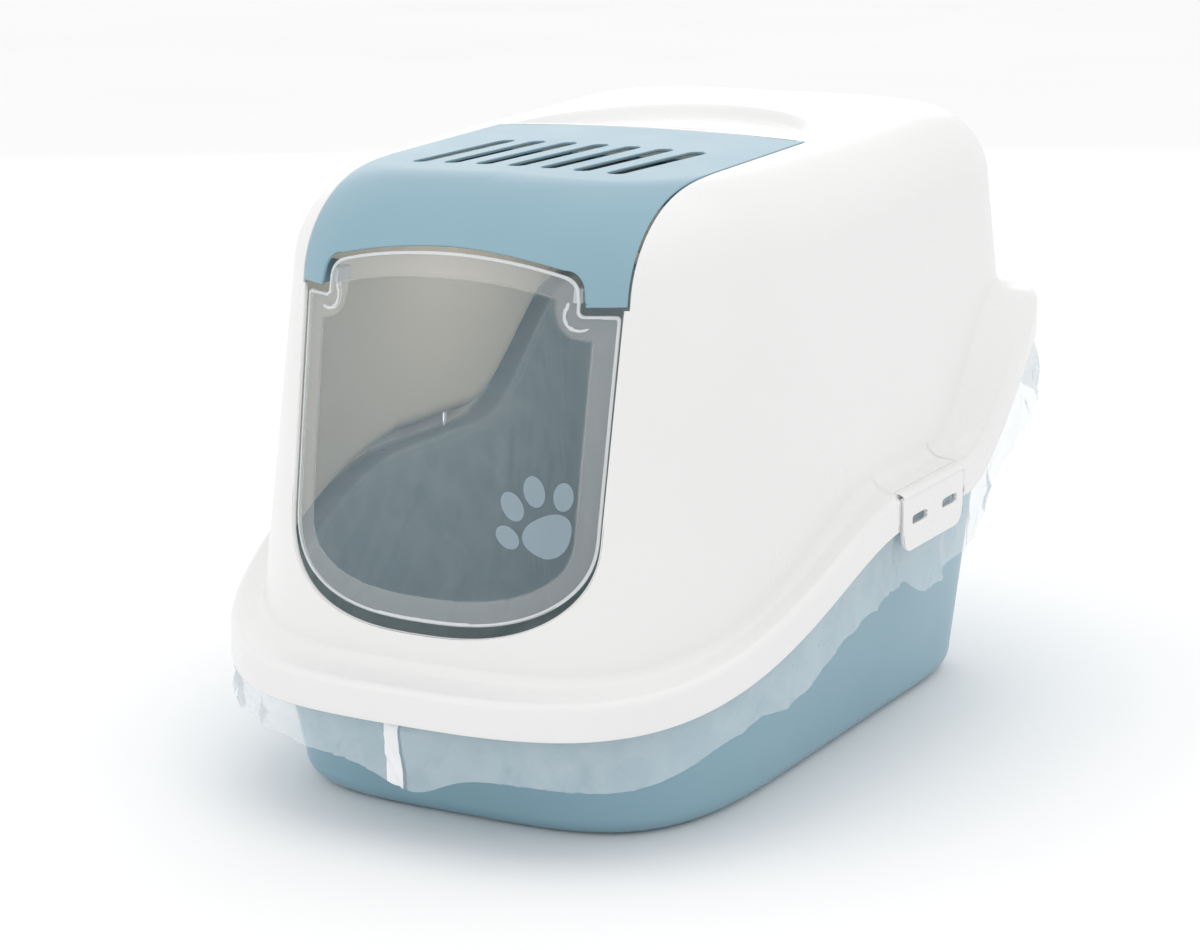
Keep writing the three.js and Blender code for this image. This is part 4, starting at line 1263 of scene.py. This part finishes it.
@dataclass
class Door:
    """The flap door: a clear panel with a raised rim, a flat band and a dished window."""

    form: HoodForm
    inset: float = 3.6
    side: float = 102.7
    bend: float = 185.0
    bottom: float = 128.0
    shoulder: float = 307.0
    neck: float = 84.2
    spring: float = 327.5
    crown: float = 337.0
    centre: float = 228.0
    rim: float = 1.9
    band: float = 14.0
    columns: int = 560

    def outline(self) -> np.ndarray:
        """The panel's outline in x and z, evenly spaced, its corners eased by a running mean."""
        turn = np.linspace(0, math.pi / 2, 40)
        quarter = np.stack([self.side * np.cos(turn) ** 0.8,
                            self.bend - (self.bend - self.bottom) * np.sin(turn) ** 0.8], axis=1)
        t = np.linspace(0, 1, 30)[:, None]
        mid = np.array([[0.0, self.crown]])
        flat = np.array([[self.neck - 13, self.spring + 2]])
        arch = mid * (1 - t) ** 2 + np.array([[self.neck / 2, self.crown]]) * 2 * t * (1 - t) + flat * t**2
        bow = flat * (1 - t) ** 2 + np.array([[self.neck, self.spring]]) * 2 * t * (1 - t)
        bow = bow + np.array([[self.neck, self.spring - 12]]) * t**2
        ledge = [[self.neck, self.shoulder], [self.side + 2.5, self.shoulder]]
        right = np.concatenate([arch, bow[1:], ledge, quarter])
        loop = np.concatenate([right, right[-2:0:-1] * np.array([-1, 1]), right[:1]])
        along = path_length(loop)
        even = np.linspace(0, along[-1], self.columns, endpoint=False)
        points = np.stack([np.interp(even, along, loop[:, k]) for k in range(2)], axis=1)
        return np.mean([np.roll(points, k, axis=0) for k in (-2, -1, 0, 1, 2)], axis=0)

    def relief(self, away: np.ndarray) -> np.ndarray:
        """Height over the panel by distance from its outline: a bead, a band, a step and a dish."""
        bead = 0.8 * (1 - smooth_step(self.rim, self.rim + 1.0, away))
        step = -0.9 * smooth_step(self.band, self.band + 1.0, away)
        dish = 3.6 * smooth_step(self.band + 1.2, self.band + 13, away)
        return bead + step + dish

    def curl(self, flat: np.ndarray) -> np.ndarray:
        """Share of the curled gusset at each shoulder: a ridge on an arc about the shoulder's corner.

        It is a bell across a circle of 8.5 mm, faded out past level with the shoulder and above the neck.

        Args:
            flat: Places across and up.

        Returns:
            Shares from 0 to 1.
        """
        across = np.abs(flat[..., 0]) - self.neck
        up = flat[..., 1] - self.shoulder
        bell = np.exp(-(((np.hypot(across, up) - 8.5) / 1.6) ** 2))
        return bell * smooth_step(9, 3, across) * smooth_step(13, 5, up)

    def distance(self, flat: np.ndarray, outline: np.ndarray) -> np.ndarray:
        """Distance from points to the nearest of the outline's points, row by row."""
        return np.stack([
            np.sqrt(((row[:, None, :] - outline[None, :, :]) ** 2).sum(-1)).min(axis=1) for row in flat
        ])

    def panel(self) -> Surface:
        """The panel: rows shrink from the outline to a middle point, raised by the relief."""
        outline = self.outline()
        share = spread((0, 0), (0.2, 46), (0.34, 16), (1.0, 14))[:, None, None]
        middle = np.array([0.0, self.centre])
        flat = outline[None] + (middle - outline)[None] * share
        away = self.distance(flat, outline)
        curl = self.curl(flat)
        relief = self.relief(away) * (1 - curl) + 0.5 * curl
        points = self.form.front(flat[..., 0], flat[..., 1], self.inset - relief)
        points[-1] = points[-1].mean(axis=0)
        marks = np.where((away < self.rim - 0.1) | (curl > 0.9), 0, np.where(away < self.band + 0.3, 1, 2))
        surface = Surface.of_grid(points, closed=True)
        surface.marks = marks.reshape(-1)[surface.faces].min(axis=1)
        return surface.turned_away_from((0, 0, self.centre)).welded()

    def build(self) -> None:
        """Builds and dresses the door."""
        piece = self.panel().thickened(2.2, 0.5).as_piece("door_panel")
        dress(piece, Finish.DOOR_RIM, Finish.DOOR_BAND, Finish.DOOR_WINDOW)
        settle(piece, "door", "clear_plastic", "door_flap")


class MarkKind(Enum):
    """Shapes of the parts of a paw print."""

    PAD = "pad"
    TOE = "toe"


@dataclass(frozen=True)
class PawMark:
    """One part of the print: its place across and up, half sizes and turn in radians."""

    name: str
    kind: MarkKind
    across: float
    up: float
    wide: float
    tall: float
    turn: float


@dataclass
class PawPrint:
    """The frosted paw print on the door's window, of a plain design of its own."""

    form: HoodForm
    x: float = 70.0
    z: float = 187.5
    tilt: float = math.radians(25)
    depth: float = 0.7
    marks: tuple[PawMark, ...] = (
        PawMark("paw_pad", MarkKind.PAD, 4, -5, 14, 12, 0),
        PawMark("paw_toe_1", MarkKind.TOE, -18, 3, 5.5, 8, 0.5),
        PawMark("paw_toe_2", MarkKind.TOE, -9, 18, 6, 9, 0.2),
        PawMark("paw_toe_3", MarkKind.TOE, 6, 21, 6, 9, -0.1),
        PawMark("paw_toe_4", MarkKind.TOE, 20, 12, 5.5, 8, -0.4),
    )

    def lens(self, mark: PawMark) -> Surface:
        """A thin lens on the door: rings of its outline, the last one sunk into the panel.

        A toe's outline is an ellipse; the pad's has three soft lobes below, by a cosine of three turns.
        """
        angle = np.linspace(0, 2 * math.pi, 72, endpoint=False)
        lobe = 0.07 if mark.kind is MarkKind.PAD else 0.0
        lobes = 1.0 + lobe * np.cos(3 * (angle + math.pi / 2))
        share = spread((0, 0), (0.9, 9), (1.0, 4))[:, None]
        across, up = mark.wide * np.cos(angle) * lobes * share, mark.tall * np.sin(angle) * lobes * share
        turn = mark.turn + self.tilt
        x = self.x + mark.across * math.cos(self.tilt) - mark.up * math.sin(self.tilt)
        z = self.z + mark.across * math.sin(self.tilt) + mark.up * math.cos(self.tilt)
        height = 0.35 * (1 - share**8) - 0.15
        points = self.form.front(
            x + across * math.cos(turn) - up * math.sin(turn),
            z + across * math.sin(turn) + up * math.cos(turn),
            self.depth - height + 0 * across,
        )
        points[0] = points[0].mean(axis=0)
        return Surface.of_grid(points, closed=True).turned_away_from((0, 0, 200)).welded()

    def build(self) -> None:
        """Builds and dresses every mark."""
        for mark in self.marks:
            piece = self.lens(mark).as_piece(f"print_{mark.name}")
            dress(piece, Finish.PRINT)
            settle(piece, "door", "frosted_print", mark.name)


@dataclass
class Latch:
    """A side latch: a plate with round lower corners and two finger windows."""

    side: int
    front: float = -11.0
    rear: float = 82.0
    top: float = 170.0
    bottom: float = 134.6
    corner: float = 12.0
    windows: tuple[float, float] = (13.5, 60.0)
    window_half: float = 10.5
    window_rise: float = 2.7
    window_z: float = 153.3
    face: float = 195.0

    def window_opening(self, y: np.ndarray) -> np.ndarray:
        """Half height of a window along Y: a superellipse of power five, nearly a rounded oblong."""
        total = np.zeros_like(y)
        for middle in self.windows:
            part = np.clip(np.abs(y - middle) / self.window_half, 0, 1)
            total = total + self.window_rise * (1 - part**5) ** 0.2
        return total

    def plate(self) -> Surface:
        """The plate's outer face: rows above and below the windows' middle line, opened like slits."""
        y = [spread((self.front, 0), (self.windows[0] - self.window_half, 12))[:-1]]
        for k, middle in enumerate(self.windows):
            turn = np.linspace(math.pi, 0, 25)
            y.append(middle + self.window_half * np.cos(turn))
            end = self.windows[1] - self.window_half if k == 0 else self.rear
            y.append(spread((middle + self.window_half, 0), (end, 14))[1:-1 if k == 0 else None])
        y = np.concatenate(y)
        past = np.maximum(np.maximum(self.front + self.corner - y, y - self.rear + self.corner), 0)
        low = self.bottom + self.corner - np.sqrt(np.maximum(self.corner**2 - past**2, 0))
        opening = self.window_opening(y)
        upper_share = spread((0, 0), (0.55, 6), (1, 8))[:, None]
        upper = self.top + (self.window_z + opening - self.top)[None, :] * upper_share
        lower_share = spread((0, 0), (0.45, 8), (1, 8))[:, None]
        start = (self.window_z - opening)[None, :]
        lower = start + (low[None, :] - start) * lower_share
        surface = None
        for z in (upper, lower):
            across = np.broadcast_to(y, z.shape)
            lip = 1.0 * smooth_step(self.top - 3.2, self.top, z)
            grid = np.stack([np.full(z.shape, self.face) - lip, across, z], axis=-1)
            grid[..., 0] *= self.side
            half = Surface.of_grid(grid)
            surface = half if surface is None else surface.joined(half)
        return surface.turned_away_from((0, 35, 150)).welded()

    def web(self) -> Surface:
        """The thin hinge web that joins the plate's top to the skirt's round: a curved strip."""
        side = np.array([195.1, 195.0, 194.5, 193.7, 192.7, 191.4, 190.2])[None, :] * self.side
        rise = np.array([168.9, 169.9, 170.9, 171.5, 172.0, 172.4, 172.6])[None, :]
        y = np.linspace(self.front + 0.3, self.rear - 0.3, 40)[:, None]
        grid = np.stack(np.broadcast_arrays(side, y, rise), axis=-1)
        return Surface.of_grid(grid).turned_away_from((0, 35, 160)).thickened(0.7, 0.2)

    def build(self) -> None:
        """Builds and dresses the plate and its hinge web."""
        label = "left" if self.side < 0 else "right"
        piece = self.plate().thickened(WALL, 0.6).as_piece(f"latch_plate_{label}")
        dress(piece, Finish.WHITE)
        settle(piece, f"latch_{label}", "white_plastic", f"latch_{label}")
        web = self.web().as_piece(f"latch_web_{label}")
        dress(web, Finish.WHITE)
        settle(web, "hood", "white_plastic")


@dataclass
class FilterPad:
    """The carbon foam pad under the slots: a soft slab, slightly crowned and dimpled."""

    half: float = 84.4
    front: float = -140.4
    rear: float = -29.6
    top: float = 370.3
    thickness: float = 5.1

    def slab(self) -> Surface:
        """The pad: a grid whose height is a shallow crown plus small waves, with a rounded rim."""
        x = np.linspace(-self.half, self.half, 90)[None, :]
        y = np.linspace(self.front, self.rear, 60)[:, None]
        u, v = x / self.half, 2 * (y - self.front) / (self.rear - self.front) - 1
        crown = 0.6 * (u**8 + v**8)
        waves = 0.12 * np.sin(x / 2.1) * np.sin(y / 2.3) + 0.1 * np.sin(x / 9 + y / 7)
        z = self.top + math.tan(math.radians(1.7)) * y - crown + waves - 0.25
        grid = np.stack(np.broadcast_arrays(x, y, z), axis=-1)
        return Surface.of_grid(grid).turned_away_from((0, -80, 0)).thickened(self.thickness - 0.6, 1.6)

    def build(self) -> None:
        piece = self.slab().as_piece("filter_foam")
        dress(piece, Finish.FOAM)
        settle(piece, "visor", "carbon_foam", "filter_pad")


@dataclass
class Fittings:
    """Small moulded fittings that keep their CAD shape and get their real finish."""

    blue: tuple[str, ...] = (
        "filter_frame", "filter_grille", "visor_hook_left", "visor_hook_right", "door_socket_left",
        "door_socket_right", "tray_catch_left_front", "tray_catch_left_rear", "tray_catch_right_front",
        "tray_catch_right_rear",
    )
    clear: tuple[str, ...] = ("door_pin_left", "door_pin_right")
    white: tuple[str, ...] = (
        "latch_left_tooth_front", "latch_left_tooth_rear", "latch_right_tooth_front",
        "latch_right_tooth_rear",
    )

    def build(self) -> None:
        """Dresses every fitting."""
        groups = ((self.blue, Finish.BLUE), (self.clear, Finish.DOOR_RIM), (self.white, Finish.WHITE))
        for names, finish in groups:
            for name in names:
                dress(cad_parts[name], finish)
                LOG.info("%s: dressed in %s", name, finish.value.name)


# ---- Studio ----


@dataclass
class Studio:
    """A pale floor, soft lights and the camera."""

    eye: tuple[float, float, float] = (916.9, -1672.4, 618.9)
    azimuth: float = 29.32
    elevation: float = 13.48
    roll: float = -0.65
    lens: float = 91.94
    # Name, place, width and power. The cabin light is inside the hood and stands for the daylight
    # that soaks through its thin walls.
    lights: tuple[tuple[str, tuple[float, float, float], float, float], ...] = (
        ("over", (0.1, 0.1, 2.2), 2.2, 7.0),
        ("front_left", (-1.3, -2.0, 1.5), 1.6, 3.0),
        ("behind", (-1.25, 2.2, 0.95), 1.7, 5.0),
        ("cabin", (0.02, 0.06, 0.305), 0.12, 0.19),
    )

    def camera(self) -> None:
        """Places the camera by its eye, azimuth, elevation and roll."""
        az, el, roll = (math.radians(a) for a in (self.azimuth, self.elevation, self.roll))
        back = np.array([math.sin(az) * math.cos(el), -math.cos(az) * math.cos(el), math.sin(el)])
        right = np.array([math.cos(az), math.sin(az), 0.0])
        up = np.cross(back, right)
        right, up = right * math.cos(roll) + up * math.sin(roll), up * math.cos(roll) - right * math.sin(roll)
        matrix = np.eye(4)
        matrix[:3, 0], matrix[:3, 1], matrix[:3, 2] = right, up, back
        matrix[:3, 3] = np.array(self.eye) * MM
        data = bpy.data.cameras.new("view")
        data.lens, data.sensor_width = self.lens, 36.0
        data.clip_end = 50.0
        camera = bpy.data.objects.new("view", data)
        camera.matrix_world = Matrix(matrix.tolist())
        bpy.context.scene.collection.objects.link(camera)
        bpy.context.scene.camera = camera

    def floor(self) -> None:
        """Lays a wide pale floor, a flat disc of rings."""
        ring = np.linspace(0, 2 * math.pi, 96, endpoint=False)
        radius = np.array([0.0, 3000.0, 12000.0])[:, None]
        x, y = radius * np.cos(ring), radius * np.sin(ring)
        grid = np.stack(np.broadcast_arrays(x, y, 0.0 * ring), axis=-1)
        piece = Surface.of_grid(grid, closed=True).welded().turned_away_from((0, 0, -900)).as_piece("floor")
        nodes = Nodes("pale_floor")
        nodes.link(nodes.ramp(nodes.noise(1.5, 2.0), [(0.3, (0.94, 0.94, 0.94)), (0.7, (0.96, 0.96, 0.96))]),
                   nodes.shader.inputs["Base Color"])
        nodes.shader.inputs["Roughness"].default_value = 0.9
        nodes.shader.inputs["Specular IOR Level"].default_value = 0.1
        piece.data.materials.append(nodes.material)

    def light(self) -> None:
        """Hangs the soft lights and sets a bright even surround."""
        world = bpy.data.worlds.new("surround")
        world.use_nodes = True
        world.node_tree.nodes["Background"].inputs["Color"].default_value = (1.0, 1.0, 1.0, 1.0)
        world.node_tree.nodes["Background"].inputs["Strength"].default_value = 1.0
        bpy.context.scene.world = world
        for name, place, size, power in self.lights:
            data = bpy.data.lights.new(name, "AREA")
            data.size, data.energy = size, power
            lamp = bpy.data.objects.new(name, data)
            spot = np.array(place)
            data.color = (1.0, 0.93, 0.82) if name == "cabin" else (1.0, 1.0, 1.0)
            lamp.visible_camera = False
            lamp.visible_glossy = name != "cabin"
            back = unit(spot - np.array([-0.1, 0.0, 0.1]))
            right = unit(np.cross(np.array([0.0, 1.0, 0.0]), back))
            matrix = np.eye(4)
            matrix[:3, 0], matrix[:3, 1] = right, np.cross(back, right)
            matrix[:3, 2], matrix[:3, 3] = back, spot
            lamp.matrix_world = Matrix(matrix.tolist())
            bpy.context.scene.collection.objects.link(lamp)
        bpy.context.scene.view_settings.view_transform = "Standard"

    def build(self) -> None:
        """Sets the whole studio."""
        self.camera()
        self.floor()
        self.light()


def main() -> None:
    """Builds the box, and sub-assembly by sub-assembly."""
    logging.basicConfig(level=logging.INFO, format="%(message)s")
    form = HoodForm()
    Studio().build()
    for assembly in (Tray(), Film(), Hood(form), Visor(form), Door(form), PawPrint(form), Latch(-1), Latch(1),
                     FilterPad(), Fittings()):
        assembly.build()


if __name__ == "__main__":
    main()
